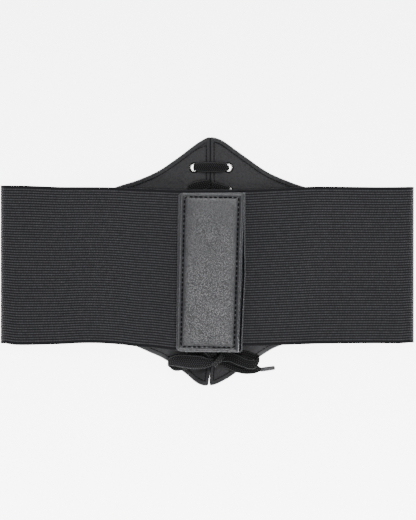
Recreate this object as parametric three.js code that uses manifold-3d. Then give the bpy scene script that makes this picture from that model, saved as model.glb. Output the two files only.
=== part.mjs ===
// A wide elastic corset belt, closed at the back and lying flat on its front.
// The frame is in millimetres: +X runs along the belt, +Y to its upper edge and +Z up from the
// surface that it lies on. The origin is on that surface, under the middle of the belt.
import * as THREE from "three";
import { mergeVertices } from "three/addons/utils/BufferGeometryUtils.js";
import Module from "manifold-3d";

const wasm = await Module();
wasm.setup();

// The belt as it lies
const flatLength = 332; // from fold to fold
const bandWidth = 127; // the elastic, from edge to edge
const bandWall = 1.5;
const foldHeight = 9; // outside height of the elastic where it folds back on itself
const clearance = 0.15; // between pieces that touch on the real belt
const mouthGap = 4; // level stretch of the elastic before its leather end

// The laced front panel, in two halves
const panelHalfWidth = 80; // from its middle to each side seam
const panelShift = 3.2; // its middle lies this far right of the loop's middle
const panelWall = 2;
const panelPeak = 100; // upper tips above the belt's middle line
const panelPoint = 100; // lower tips below the middle line
const seamTop = 58.6; // upper end of a side seam
const seamBottom = 64.8; // lower end of a side seam, below the middle line
const seamLap = 10; // how far the elastic lies over the panel
const seamStep = 7; // the way on which it then comes down to the surface
const seamPast = 1; // and how far past the panel's edge that starts
const panelLevel = 2; // how far the panel stays level beyond its eyelets
const panelLanding = 4; // and how far inside the elastic's lap it lies on the surface
const splitShift = -0.8; // the split, from the panel's middle
const splitGap = 1.2; // between the halves
const notchWidth = 2.6; // the split's width between the lower tips
const notchDepth = 21; // how far up the split is spread

// The eyelets
const eyeletPairs = 9;
const tipToEyelet = 24.7; // from the upper tips down to the first pair
const eyeletPitch = 19;
const eyeletSpacing = 27.5; // across the split, centre to centre
const eyeletBore = 2.4; // radius
const eyeletBarrel = 2.9; // radius
const flangeRadius = 4.1;
const flangeWall = 0.5;

// The flat lace
const laceWidth = 9;
const laceWall = 1.2;
const laceGround = 0.5; // outer lacing above the surface
const laceInEyelet = { width: 3.5, wall: 1.8 };
const laceInSplit = { width: 4.2, wall: 0.8 };
const laceEnd = { width: 4, wall: 0.8 };
const highPass = 7.7; // where the lace goes through the split, above the pair that it goes to
const lowPass = 3.2;
const lastPass = { high: -3.6, low: -8 }; // where its ends come in to the knot
const agletRadius = 1.1;
const agletLength = 11.8;

// The closure at the back
const closureHeight = 13.5; // its underside above the surface
const leatherWall = 1;
const closureLength = 127.2;
const closureY = -9.2; // its middle
const flapTop = 53; // the flap's width at its upper end
const flapBottom = 50;
const flapRight = 28.1; // its folded edge, half way up
const flapLean = 0.036; // how far that edge moves right per unit of height
const flapCorner = 5; // how far in the two corners on the sewn side are rounded off
const placketWidth = 46;
const placketRight = 29.9; // its open edge, which shows beside the flap
const placketLean = 0.025;
const placketCorner = 2;
const tapeWall = 1.5;
const tapeWidth = 36;
const tapeLength = 112;

const leather = { color: 0x2c2d30, roughness: 0.5, metalness: 0 };
const closureLeather = { color: 0x45464a, roughness: 0.5, metalness: 0 };
const elastic = { color: 0x1c1c1e, roughness: 0.85, metalness: 0 };
const cord = { color: 0x101011, roughness: 0.9, metalness: 0 };
const metal = { color: 0xc8c8cc, roughness: 0.25, metalness: 1 };
const plastic = { color: 0x26292d, roughness: 0.25, metalness: 0 };

// Heights that follow from the walls, from the surface up
const outerLaceZ = laceGround + laceWall / 2;
const panelUnderZ =
  laceGround + laceWall + clearance + flangeWall + clearance;
const panelTopZ = panelUnderZ + panelWall;
const flangeTopZ = panelTopZ + clearance + flangeWall;
const innerLaceZ = flangeTopZ + clearance + laceWall / 2;
const pocket = bandWall + 2 * clearance; // room for the elastic inside a folded leather end
const wrapThickness = 2 * leatherWall + pocket;
const rightBandZ = closureHeight + leatherWall + clearance + bandWall / 2;
const tapeZ = closureHeight + wrapThickness + clearance;
const flapZ = tapeZ + tapeWall + clearance;
const leftBandZ = flapZ + leatherWall + clearance + bandWall / 2;

const splitX = panelShift + splitShift;
const eyeletX = (side) => panelShift + (side * eyeletSpacing) / 2;
const eyeletY = (row) => panelPeak - tipToEyelet - row * eyeletPitch;
const lastRow = eyeletPairs - 1;

const point = (x, y, z) => new THREE.Vector3(x, y, z);
const ease = (t) => t * t * (3 - 2 * t);

// Turns a closed mesh into a solid that can be cut.
function solid(geometry) {
  const bare = new THREE.BufferGeometry();
  bare.setAttribute("position", geometry.getAttribute("position"));
  bare.setIndex(geometry.index);
  const merged = mergeVertices(bare, 1e-4);
  return new wasm.Manifold(
    new wasm.Mesh({
      numProp: 3,
      vertProperties: new Float32Array(merged.attributes.position.array),
      triVerts: new Uint32Array(merged.index.array),
    }),
  );
}

function geometryOf(cut) {
  const mesh = cut.getMesh();
  const geometry = new THREE.BufferGeometry();
  geometry.setAttribute(
    "position",
    new THREE.BufferAttribute(mesh.vertProperties, 3),
  );
  geometry.setIndex(new THREE.BufferAttribute(mesh.triVerts, 1));
  return geometry;
}

// Skins rings of equally many points, and closes both ends with fans.
function loft(rings) {
  const sides = rings[0].length;
  const corners = rings.flat().flatMap((p) => p.toArray());
  const faces = [];
  for (let r = 0; r + 1 < rings.length; r++) {
    for (let s = 0; s < sides; s++) {
      const a = r * sides + s;
      const b = r * sides + ((s + 1) % sides);
      faces.push(a, b, b + sides, a, b + sides, a + sides);
    }
  }
  const last = (rings.length - 1) * sides;
  for (let s = 1; s + 1 < sides; s++) {
    faces.push(0, s + 1, s, last, last + s, last + s + 1);
  }
  const geometry = new THREE.BufferGeometry();
  geometry.setAttribute("position", new THREE.Float32BufferAttribute(corners, 3));
  geometry.setIndex(faces);
  return geometry;
}

function mesh(name, geometry, look) {
  const made = new THREE.Mesh(geometry, new THREE.MeshStandardMaterial(look));
  made.name = name;
  return made;
}

// The panel's edges: points across, as shares of its half width, and how far they rise beyond
// the seam's end, as shares of the tip's rise. Between points the edge is a quadratic curve that
// turns at turnAcross and turnRise.
const upperEdge = [
  { across: 0, rise: 1 },
  { turnAcross: 0.06, turnRise: 1, across: 0.125, rise: 0.909 },
  { turnAcross: 0.3, turnRise: 0.663, across: 0.5, rise: 0.381 },
  { turnAcross: 0.609, turnRise: 0.228, across: 1, rise: 0 },
];
const lowerEdge = [
  { across: 0, rise: 1 },
  { turnAcross: 0.077, turnRise: 1, across: 0.125, rise: 0.923 },
  { turnAcross: 0.3, turnRise: 0.644, across: 0.475, rise: 0.366 },
  { turnAcross: 0.625, turnRise: 0.128, across: 1, rise: 0 },
];
const panelStations = [
  0, 0.025, 0.05, 0.08, 0.125, 0.25, 0.375, 0.475, 0.55, 0.62, 0.7, 0.8, 0.9, 1,
];

function edgeCurve(rows, tip, seam) {
  const place = (across, rise) => [
    across * panelHalfWidth,
    seam + rise * (tip - seam),
  ];
  const path = new THREE.Path();
  path.moveTo(...place(rows[0].across, rows[0].rise));
  for (const row of rows.slice(1)) {
    path.quadraticCurveTo(
      ...place(row.turnAcross, row.turnRise),
      ...place(row.across, row.rise),
    );
  }
  return path.getPoints(24);
}

function heightAt(curve, across) {
  const next = Math.max(
    1,
    curve.findIndex((p) => p.x >= across - 1e-9),
  );
  const [a, b] = [curve[next - 1], curve[next]];
  return a.y + ((b.y - a.y) * (across - a.x)) / (b.x - a.x);
}

// The panel's underside: level where the eyelets are, then down to the surface at the seams.
function panelUnder(across) {
  const level = eyeletSpacing / 2 + flangeRadius + panelLevel;
  const landed = panelHalfWidth - seamLap - panelLanding;
  const t = THREE.MathUtils.clamp((across - level) / (landed - level), 0, 1);
  return panelUnderZ * (1 - ease(t));
}

function panelHalf(side) {
  const upper = edgeCurve(upperEdge, panelPeak, seamTop);
  const lower = edgeCurve(lowerEdge, -panelPoint, -seamBottom);
  const inner = splitX + (side * splitGap) / 2;
  const outer = panelShift + side * panelHalfWidth;
  const rings = panelStations.map((share) => {
    const x = inner + (outer - inner) * share;
    const across = Math.min(Math.abs(x - panelShift), panelHalfWidth);
    const [low, high] = [heightAt(lower, across), heightAt(upper, across)];
    const under = panelUnder(across);
    const ring = [
      point(x, low, under),
      point(x, high, under),
      point(x, high, under + panelWall),
      point(x, low, under + panelWall),
    ];
    return side > 0 ? ring : ring.reverse();
  });
  let plate = solid(loft(rings));
  const hole = eyeletBarrel + clearance;
  for (let row = 0; row < eyeletPairs; row++) {
    const drill = new THREE.CylinderGeometry(hole, hole, 4 * panelWall, 12);
    drill.rotateX(Math.PI / 2);
    drill.translate(eyeletX(side), eyeletY(row), (panelUnderZ + panelTopZ) / 2);
    plate = plate.subtract(solid(drill));
  }
  return plate.subtract(solid(notch()));
}

// The wedge that spreads the split between the two lower tips.
function notch() {
  const past = 1;
  const spread = (notchWidth * (notchDepth + past)) / notchDepth / 2;
  const outline = new THREE.Shape([
    new THREE.Vector2(splitX, notchDepth - panelPoint),
    new THREE.Vector2(splitX - spread, -panelPoint - past),
    new THREE.Vector2(splitX + spread, -panelPoint - past),
  ]);
  const wedge = new THREE.ExtrudeGeometry(outline, {
    depth: 4 * panelWall,
    bevelEnabled: false,
  });
  wedge.translate(0, 0, panelUnderZ - panelWall);
  return wedge;
}

// An eyelet with its washer: a barrel through the panel and a flange on each face.
function eyelet() {
  const bottom = panelUnderZ - clearance - flangeWall;
  const rim = flangeWall / 3;
  const profile = [
    [eyeletBore, bottom],
    [flangeRadius, bottom],
    [flangeRadius, bottom + flangeWall],
    [eyeletBarrel, bottom + flangeWall],
    [eyeletBarrel, flangeTopZ - flangeWall],
    [flangeRadius, flangeTopZ - flangeWall],
    [flangeRadius, flangeTopZ - rim],
    [eyeletBarrel, flangeTopZ],
    [eyeletBore, flangeTopZ - rim],
    [eyeletBore, bottom],
  ];
  const ring = new THREE.LatheGeometry(
    profile.map(([r, z]) => new THREE.Vector2(r, z)),
    12,
  );
  return ring.rotateX(Math.PI / 2);
}

// The elastic's edges from its fold to the closure: along is a share of that way, top and bottom
// are shares of half the band's width above and below the middle line.
const leftEdges = [
  { along: 0, top: 0.957, bottom: 1.044 },
  { along: 0.13, top: 0.955, bottom: 1.052 },
  { along: 0.4, top: 0.926, bottom: 1.031 },
  { along: 0.51, top: 0.923, bottom: 1.019 },
  { along: 0.65, top: 0.917, bottom: 1.033 },
  { along: 0.78, top: 0.912, bottom: 1.071 },
  { along: 0.89, top: 0.906, bottom: 1.088 },
  { along: 1, top: 0.894, bottom: 1.12 },
];
const rightEdges = [
  { along: 0, top: 0.945, bottom: 1.038 },
  { along: 0.17, top: 0.932, bottom: 1.031 },
  { along: 0.55, top: 0.94, bottom: 1.031 },
  { along: 0.75, top: 0.925, bottom: 1.047 },
  { along: 0.88, top: 0.915, bottom: 1.061 },
  { along: 1, top: 0.9, bottom: 1.066 },
];
const lowerLayerEnd = { top: 0.91, bottom: 1.005 }; // at the seam, hidden by the upper layer
const upperSteps = 14;
const foldSteps = 8;

function edgesAt(rows, along) {
  const t = THREE.MathUtils.clamp(along, 0, 1);
  const next = Math.max(
    1,
    rows.findIndex((row) => row.along >= t - 1e-9),
  );
  const [a, b] = [rows[next - 1], rows[next]];
  const part = (t - a.along) / (b.along - a.along);
  return {
    top: a.top + (b.top - a.top) * part,
    bottom: a.bottom + (b.bottom - a.bottom) * part,
  };
}

// A side of the band, from the panel's seam out to the fold and back over itself into its
// folded leather end. mouth is where it goes in, stop where it ends and endZ its height there.
function bandSide(side, { mouth, stop, endZ, edges }) {
  const foldX = side * (flatLength / 2 - foldHeight / 2);
  const radius = (foldHeight - bandWall) / 2;
  const seamX = panelShift + side * (panelHalfWidth - seamLap);
  const upperZ = foldHeight - bandWall / 2;
  const fold = edges[0];
  const ring = (x, z, turn, { top, bottom }) => {
    const [nx, nz] = [Math.sin(turn) * side, -Math.cos(turn)];
    const [dx, dz] = [(nx * bandWall) / 2, (nz * bandWall) / 2];
    const [low, high] = [(-bottom * bandWidth) / 2, (top * bandWidth) / 2];
    const corners = [
      point(x + dx, low, z + dz),
      point(x + dx, high, z + dz),
      point(x - dx, high, z - dz),
      point(x - dx, low, z - dz),
    ];
    return side > 0 ? corners : corners.reverse();
  };
  const lapZ = panelWall + clearance + bandWall / 2;
  const rings = [
    ring(seamX, lapZ, 0, lowerLayerEnd),
    ring(seamX + side * (seamLap + seamPast), lapZ, 0, lowerLayerEnd),
    ring(seamX + side * (seamLap + seamPast + seamStep), bandWall / 2, 0, lowerLayerEnd),
  ];
  for (let step = 0; step <= foldSteps; step++) {
    const turn = (Math.PI * step) / foldSteps;
    const x = foldX + side * radius * Math.sin(turn);
    const z = foldHeight / 2 - radius * Math.cos(turn);
    rings.push(ring(x, z, turn, fold));
  }
  for (let step = 1; step <= upperSteps; step++) {
    const along = step / upperSteps;
    const x = foldX + (mouth - foldX) * along;
    const z = upperZ + (endZ - upperZ) * ease(along);
    const rise = ((endZ - upperZ) * 6 * along * (1 - along)) / Math.abs(mouth - foldX);
    rings.push(ring(x, z, Math.PI - Math.atan(rise), edgesAt(edges, along)));
  }
  rings.push(ring(stop, endZ, Math.PI, edges[edges.length - 1]));
  return loft(rings);
}

// A leather strip folded round the end of the elastic, with its fold on the right and its open
// side on the left. lean is how far the fold moves right per unit of height.
function foldedEnd({ top, bottom, lean, corner }) {
  const width = (top + bottom) / 2;
  const [half, tall] = [width / 2, closureLength / 2];
  const outer = wrapThickness / 2;
  const inner = pocket / 2;
  const bend = half - outer;
  const section = new THREE.Shape();
  section.moveTo(-width, 0);
  section.lineTo(bend, 0);
  section.absarc(bend, outer, outer, -Math.PI / 2, Math.PI / 2, false);
  section.lineTo(-width, wrapThickness);
  section.lineTo(-width, wrapThickness - leatherWall);
  section.lineTo(bend, wrapThickness - leatherWall);
  section.absarc(bend, outer, inner, Math.PI / 2, -Math.PI / 2, true);
  section.lineTo(-width, leatherWall);
  const strip = new THREE.ExtrudeGeometry(section, {
    depth: 2 * closureLength,
    bevelEnabled: false,
    curveSegments: 6,
  });
  strip.translate(0, 0, -closureLength);
  strip.rotateX(Math.PI / 2);
  strip.applyMatrix4(new THREE.Matrix4().makeShear(0, 0, lean, 0, 0, 0));
  const openLean = lean - (top - bottom) / closureLength;
  const left = (y) => y * openLean - half;
  const outline = new THREE.Shape();
  outline.moveTo(width, -tall);
  outline.lineTo(width, tall);
  outline.lineTo(left(tall) + corner, tall);
  outline.quadraticCurveTo(left(tall), tall, left(tall - corner), tall - corner);
  outline.lineTo(left(corner - tall), corner - tall);
  outline.quadraticCurveTo(left(-tall), -tall, left(-tall) + corner, -tall);
  const cutter = new THREE.ExtrudeGeometry(outline, {
    depth: wrapThickness + 2,
    bevelEnabled: false,
    curveSegments: 5,
  });
  cutter.translate(0, 0, -1);
  return geometryOf(solid(strip).intersect(solid(cutter)));
}

function plate(width, length, wall) {
  return new THREE.BoxGeometry(width, length, wall).translate(0, 0, wall / 2);
}

function placed(made, x, y, z) {
  made.position.set(x, y, z);
  return made;
}

// A flat lace along stations of { at, width, wall }. Its width is kept towards +Y or, where it
// lies level, square to its run.
function flatLace(stations, level = false) {
  const up = point(0, 1, 0);
  const rings = stations.map(({ at, width = laceWidth, wall = laceWall }, i) => {
    const before = stations[Math.max(i - 1, 0)].at;
    const after = stations[Math.min(i + 1, stations.length - 1)].at;
    const way = after.clone().sub(at).normalize();
    way.add(at.clone().sub(before).normalize()).normalize();
    const across = level
      ? point(-way.y, way.x, 0).normalize()
      : up.clone().addScaledVector(way, -up.dot(way)).normalize();
    const thick = way.clone().cross(across);
    const [w, t] = [width / 2, wall / 2];
    const outline = [[w, 0], [w - t, t], [t - w, t], [-w, 0], [t - w, -t], [w - t, -t]];
    return outline.map(([a, b]) =>
      at.clone().addScaledVector(across, a).addScaledVector(thick, b),
    );
  });
  return loft(rings);
}

// Through an eyelet, from the outer face up to the inner one.
function throughEyelet(x, y) {
  return [
    { at: point(x, y, outerLaceZ), ...laceInEyelet, wall: laceWall },
    { at: point(x, y, (panelUnderZ + panelTopZ) / 2), ...laceInEyelet },
    { at: point(x, y, innerLaceZ), ...laceInEyelet, wall: laceWall },
  ];
}

// A straight run on one face from an eyelet to the split, or back.
function runToSplit(side, eyeletAt, passAt, z) {
  const [from, to] = [eyeletX(side), splitX];
  const run = (share, width) => ({
    at: point(from + (to - from) * share, eyeletAt + (passAt - eyeletAt) * ease(share), z),
    width,
  });
  return [
    run(0.22, laceWidth * 0.66),
    run(0.45, laceWidth * 0.92),
    run(0.68, laceWidth * 0.86),
    run(0.88, laceWidth * 0.6),
  ];
}

function throughSplit(y) {
  return [
    { at: point(splitX, y, outerLaceZ + 0.4), ...laceInSplit },
    { at: point(splitX, y, (panelUnderZ + panelTopZ) / 2), ...laceInSplit },
    { at: point(splitX, y, innerLaceZ - 0.4), ...laceInSplit },
  ];
}

// One strand, from the upper pair's bar down to the knot. It leaves each eyelet on the outer
// face, goes through the split and comes to the next pair's other eyelet on the inner face.
function strand(startSide) {
  const stations = [];
  let side = startSide;
  for (let row = 0; row < lastRow; row++) {
    const pass = eyeletY(row + 1) + (side > 0 ? highPass : lowPass);
    stations.push(...throughEyelet(eyeletX(side), eyeletY(row)).reverse());
    stations.push(...runToSplit(side, eyeletY(row), pass, outerLaceZ));
    stations.push(...throughSplit(pass));
    side = -side;
    stations.push(...runToSplit(side, eyeletY(row + 1), pass, innerLaceZ).reverse());
  }
  const pass = eyeletY(lastRow) + (side > 0 ? lastPass.high : lastPass.low);
  stations.push(...throughEyelet(eyeletX(side), eyeletY(lastRow)).reverse());
  stations.push(...runToSplit(side, eyeletY(lastRow), pass, outerLaceZ));
  stations.push(...throughSplit(pass).map(({ at }) => ({ at, ...laceEnd })));
  return stations;
}

// The whole held stretch of the lace: both strands, joined by the bar across the upper pair.
function lacing() {
  const bar = [-0.62, -0.3, 0, 0.3, 0.62].map((share) => ({
    at: point(panelShift + (share * eyeletSpacing) / 2, eyeletY(0), innerLaceZ),
    width: laceWidth * (0.94 - 0.3 * share * share),
  }));
  return flatLace([...strand(-1).reverse(), ...bar, ...strand(1)]);
}

// The bow, tied on the inner face. Its points are chosen by hand, in the belt's frame.
const knotSize = { x: 9, y: 11, z: 5.8 };
const knotCentre = { x: 8, y: -79.2, z: 9.6 };
const leftLoop = [
  [3.2, -79.2, 10.3], [-5, -79, 11], [-14, -79.1, 10.7], [-22, -79.9, 9.9],
  [-27.6, -81.2, 9], [-30.6, -82.3, 7.6], [-29, -83.1, 6.2], [-23, -83.6, 5.7],
  [-15, -83.2, 6.6], [-8, -82, 7.4], [3.2, -80.8, 7.5],
];
const rightLoop = [
  [12.8, -78.3, 10.3], [20, -77.8, 11], [29, -77.9, 10.7], [36, -78.2, 10.1],
  [40.4, -79, 9.1], [41.6, -80.5, 7.9], [39.6, -83, 7.15], [34, -85.6, 7.1],
  [27, -86, 7.1], [20, -84.8, 7.2], [12.8, -81.4, 7.5],
];
const leftTail = [
  [4.2, -73.8, 7.9], [-1, -69, 7.6], [-8, -65, 7.5], [-15, -62.3, 7.3],
  [-22, -60, 6.1], [-30, -58, 4.9], [-38, -56.8, 4.3], [-45, -56.2, 3.95],
  [-50, -56, 3.75],
];
const rightTail = [
  [9.5, -73.2, 8], [11, -67.5, 7.6], [15.5, -61.8, 7.4], [21.5, -62, 7.2],
  [24.5, -67.5, 6.4], [25.5, -74, 5.7], [28, -80.5, 5.6], [32.5, -85, 5.4],
  [37.5, -87.3, 4.2], [41, -87.6, 2.6], [43, -87.5, 1.7],
];
const leftAglet = { start: [-50.2, -56, 3.75], way: [-1, 0.02, -0.02] };
const rightAglet = { start: [43.2, -87.5, 1.6], way: [1, 0.13, -0.03] };

function smoothRun(points, steps) {
  const run = new THREE.CatmullRomCurve3(points.map((p) => point(...p)));
  return run.getSpacedPoints(steps);
}

function loopOfLace(points) {
  const steps = 28;
  return flatLace(
    smoothRun(points, steps).map((at, i) => ({
      at,
      width: laceWidth * Math.min(1, 0.66 + (0.1 * Math.min(i, steps - i))),
    })),
  );
}

// A tail runs off the knot, and closes up round itself where it goes into its aglet.
function tailOfLace(points) {
  const steps = 30;
  return flatLace(
    smoothRun(points, steps).map((at, i) => {
      const left = (steps - i) / steps;
      const full = Math.min(0.9, 0.6 + 0.1 * i, 0.2 + 5 * left);
      return { at, width: laceWidth * full };
    }),
    true,
  );
}

function aglet({ start, way }) {
  const tube = new THREE.CylinderGeometry(agletRadius, agletRadius, agletLength, 8);
  tube.translate(0, agletLength / 2, 0);
  const turn = new THREE.Quaternion().setFromUnitVectors(
    point(0, 1, 0),
    point(...way).normalize(),
  );
  return tube.applyQuaternion(turn).translate(...start);
}

function knot() {
  const ball = new THREE.SphereGeometry(0.5, 10, 6);
  ball.scale(knotSize.x, knotSize.y, knotSize.z);
  return ball.translate(knotCentre.x, knotCentre.y, knotCentre.z);
}

const belt = new THREE.Group();
belt.add(mesh("panel_left", geometryOf(panelHalf(-1)), leather));
belt.add(mesh("panel_right", geometryOf(panelHalf(1)), leather));
for (let row = 0; row < eyeletPairs; row++) {
  for (const side of [-1, 1]) {
    const name = `eyelet_${side < 0 ? "left" : "right"}_${row + 1}`;
    const made = mesh(name, eyelet(), metal);
    belt.add(placed(made, eyeletX(side), eyeletY(row), 0));
  }
}

const flapX = flapRight - (flapTop + flapBottom) / 4;
const placketX = placketRight - placketWidth / 2;
const endGap = wrapThickness / 2 + 3; // from a folded end's outer fold to the elastic in it
const flap = mesh(
  "closure_flap",
  foldedEnd({ top: flapTop, bottom: flapBottom, lean: flapLean, corner: flapCorner }),
  closureLeather,
);
const placket = mesh(
  "closure_placket",
  foldedEnd({
    top: placketWidth,
    bottom: placketWidth,
    lean: placketLean,
    corner: placketCorner,
  }),
  closureLeather,
);
placket.rotation.z = Math.PI;
const tape = mesh("hook_and_loop", plate(tapeWidth, tapeLength, tapeWall), cord);
tape.rotation.z = -Math.atan((flapLean + placketLean) / 2);
belt.add(
  placed(flap, flapX, closureY, flapZ),
  placed(placket, placketX, closureY, closureHeight),
  placed(tape, flapX, closureY, tapeZ),
  mesh(
    "elastic_left",
    bandSide(-1, {
      mouth: 2 * flapX - flapRight - mouthGap,
      stop: flapRight - endGap,
      endZ: leftBandZ,
      edges: leftEdges,
    }),
    elastic,
  ),
  mesh(
    "elastic_right",
    bandSide(1, {
      mouth: placketRight + mouthGap,
      stop: placketRight - placketWidth + endGap,
      endZ: rightBandZ,
      edges: rightEdges,
    }),
    elastic,
  ),
);

belt.add(
  mesh("lacing", lacing(), cord),
  mesh("bow_knot", knot(), cord),
  mesh("bow_loop_left", loopOfLace(leftLoop), cord),
  mesh("bow_loop_right", loopOfLace(rightLoop), cord),
  mesh("tail_left", tailOfLace(leftTail), cord),
  mesh("tail_right", tailOfLace(rightTail), cord),
  mesh("aglet_left", aglet(leftAglet), plastic),
  mesh("aglet_right", aglet(rightAglet), plastic),
);

export default belt;
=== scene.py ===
"""Looks of a wide elastic corset belt that lies flat on its laced front panel, closure up.

All sizes are in millimetres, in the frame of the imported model, and turn into metres where a mesh
is made. Each new piece is a surface worked out on a grid with numpy: rings of points, one ring for
each station of a run.
"""

from __future__ import annotations

import logging
from collections.abc import Callable, Sequence
from dataclasses import dataclass
from enum import Enum
from functools import cache

import bpy
import numpy as np
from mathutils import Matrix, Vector


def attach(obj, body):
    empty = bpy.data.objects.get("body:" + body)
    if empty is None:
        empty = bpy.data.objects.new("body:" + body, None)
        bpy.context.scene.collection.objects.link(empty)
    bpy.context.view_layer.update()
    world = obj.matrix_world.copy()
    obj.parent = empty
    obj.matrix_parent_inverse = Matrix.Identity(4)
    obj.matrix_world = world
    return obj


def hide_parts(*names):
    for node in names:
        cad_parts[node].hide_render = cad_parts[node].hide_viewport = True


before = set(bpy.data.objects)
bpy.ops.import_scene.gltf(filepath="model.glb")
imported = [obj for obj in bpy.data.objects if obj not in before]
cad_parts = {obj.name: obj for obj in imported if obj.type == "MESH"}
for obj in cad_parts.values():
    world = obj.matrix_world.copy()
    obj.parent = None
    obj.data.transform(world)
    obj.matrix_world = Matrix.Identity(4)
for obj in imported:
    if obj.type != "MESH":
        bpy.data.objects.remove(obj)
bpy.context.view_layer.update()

LOG = logging.getLogger("corset_belt")
MM = 0.001
BODY = "root"
TURN = 2 * np.pi
UV_SHIFT = 20.0  # keeps V above 0 across a lace, so that its columns alternate evenly
Array = np.ndarray


class Side(Enum):
    """A half of the belt: its sign along X, and its word in the names."""

    LEFT = -1
    RIGHT = 1

    @property
    def word(self) -> str:
        """The side's word in the names of nodes and pieces."""
        return self.name.lower()


# ---- numbers and curves


def ease(x: Array | float, low: float, high: float) -> Array:
    """Smooth step from 0 at low to 1 at high: 3t squared less 2t cubed.

    Args:
        x: where to read the step.
        low: where it starts.
        high: where it ends.

    Returns:
        Values from 0 to 1, in the shape of x.
    """
    t = np.clip((np.asarray(x, float) - low) / (high - low), 0, 1)
    return t * t * (3 - 2 * t)


def bell(x: Array | float, centre: float, spread: float) -> Array:
    """Bell curve of height 1: e to the minus square of the offset in spreads.

    Args:
        x: where to read the curve.
        centre: its middle.
        spread: its half width at 1/e.

    Returns:
        Values from 0 to 1.
    """
    return np.exp(-(((np.asarray(x, float) - centre) / spread) ** 2))


def unit(v: Array) -> Array:
    """Vectors scaled to length 1 along the last axis."""
    return v / np.maximum(np.linalg.norm(v, axis=-1, keepdims=True), 1e-12)


def spline(knots: Array, t: Array) -> Array:
    """Catmull-Rom curve: the cubic through each two knots whose slope at a knot is half the
    chord between its neighbours.

    Args:
        knots: (N, K) points or rows of values.
        t: where to read the curve, from 0 to N - 1.

    Returns:
        (len(t), K) values.
    """
    p = np.vstack([2 * knots[0] - knots[1], knots, 2 * knots[-1] - knots[-2]])
    i = np.clip(np.floor(t).astype(int), 0, len(knots) - 2)
    f = (t - i)[:, None]
    a, b, c, d = p[i], p[i + 1], p[i + 2], p[i + 3]
    return 0.5 * (2 * b + (c - a) * f + (2 * a - 5 * b + 4 * c - d) * f**2 + (3 * b - a - 3 * c + d) * f**3)


def run_through(knots: Sequence[Sequence[float]], step: float) -> Array:
    """Spline through rows whose first three values are a place, at even steps of its length.

    Args:
        knots: rows of x, y, z and any further values that go along.
        step: distance between two stations.

    Returns:
        (N, K) rows.
    """
    rows = np.array(knots, float)
    fine = spline(rows, np.linspace(0, len(rows) - 1, 40 * len(rows)))
    way = length_along(fine[:, :3])
    even = np.linspace(0, way[-1], max(8, round(way[-1] / step)) + 1)
    return np.stack([np.interp(even, way, column) for column in fine.T], axis=1)


def length_along(route: Array) -> Array:
    """Way from the first point to each point of a route."""
    return np.concatenate([[0], np.cumsum(np.linalg.norm(np.diff(route, axis=0), axis=1))])


def share_along(route: Array) -> Array:
    """Way along a route's places as a share of the whole, from 0 to 1."""
    way = length_along(route[:, :3])
    return way / way[-1]


def read_table(rows: Sequence[Sequence[float]] | Array, at: Array) -> Array:
    """Value at each place on the straight lines through a table of places and values."""
    places, values = np.array(rows, float).T
    return np.interp(at, places, values)


def layers(*values: Array) -> Array:
    """Arrays spread to one shape and stacked along a new last axis."""
    return np.stack(np.broadcast_arrays(*values), axis=-1)


def ripple(x: Array, y: Array, seed: int, reach: float, waves: int = 6) -> Array:
    """Uneven swell of a sheet: a sum of plane waves of random heading and phase.

    Args:
        x: places along X, in mm.
        y: places along Y, in mm.
        seed: picks the waves.
        reach: mean wavelength, in mm.
        waves: how many there are.

    Returns:
        Values of about -1 to 1.
    """
    rng = np.random.default_rng(seed)
    total = np.zeros(np.broadcast(x, y).shape)
    for heading, phase, stretch in zip(
        rng.uniform(0, TURN, waves), rng.uniform(0, TURN, waves), rng.uniform(0.7, 1.5, waves)
    ):
        total += np.sin(TURN * (x * np.cos(heading) + y * np.sin(heading)) / (reach * stretch) + phase)
    return total / np.sqrt(waves) / 1.2


# ---- meshes


def make_object(name: str, places: Array, faces: Array | list, uv: Array | None = None) -> bpy.types.Object:
    """Mesh object at the origin, from places in millimetres.

    Args:
        name: the piece's name.
        places: (N, 3) points in mm.
        faces: rows of point numbers.
        uv: (N, 2) values for a UV map named "cloth", or None. A third column goes into an
            attribute named "rim".

    Returns:
        The linked object.
    """
    mesh = bpy.data.meshes.new(name)
    mesh.from_pydata((places * MM).tolist(), [], faces if isinstance(faces, list) else faces.tolist())
    if uv is not None:
        corner = np.zeros(len(mesh.loops), np.int32)
        mesh.loops.foreach_get("vertex_index", corner)
        mesh.uv_layers.new(name="cloth").data.foreach_set("uv", uv[corner, :2].astype(np.float32).ravel())
        if uv.shape[1] > 2:
            mesh.attributes.new("rim", "FLOAT", "POINT").data.foreach_set("value", uv[:, 2].astype(np.float32))
    mesh.shade_smooth()
    mesh.update()
    made = bpy.data.objects.new(name, mesh)
    bpy.context.scene.collection.objects.link(made)
    return made


def outward(places: Array, faces: Array) -> Array:
    """Faces turned round where the closed surface is inside out, which its signed volume tells.

    Args:
        places: (N, 3) points.
        faces: (F, 4) point numbers.

    Returns:
        The faces, all pointing outwards.
    """
    a, b, c, d = (places[faces[:, k]] for k in range(4))
    volume = (a * np.cross(b, c)).sum() + (a * np.cross(c, d)).sum()
    return faces if volume > 0 else faces[:, ::-1]


def wall_faces(count: int, size: int, around: bool = False) -> Array:
    """Faces over rings of points, numbered ring by ring.

    A ring runs along one face of a wall and back along the other, so that point k lies across
    from point size - 1 - k. The two ends are closed by strips between such pairs.

    Args:
        count: how many rings.
        size: how many points in each, an even number.
        around: True where the last ring joins the first, which leaves no ends.

    Returns:
        (F, 4) point numbers.
    """
    number = np.arange(count * size).reshape(count, size)
    here = number if around else number[:-1]
    there = np.roll(number, -1, axis=0) if around else number[1:]
    quads = [np.stack([here, np.roll(here, -1, 1), np.roll(there, -1, 1), there], axis=-1).reshape(-1, 4)]
    if not around:
        k = np.arange(size // 2 - 1)
        for ring, turn in ((number[0], 1), (number[-1], -1)):
            cap = np.stack([ring[k], ring[size - 1 - k], ring[size - 2 - k], ring[k + 1]], axis=-1)
            quads.append(cap[:, ::turn])
    return np.concatenate(quads)


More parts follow.
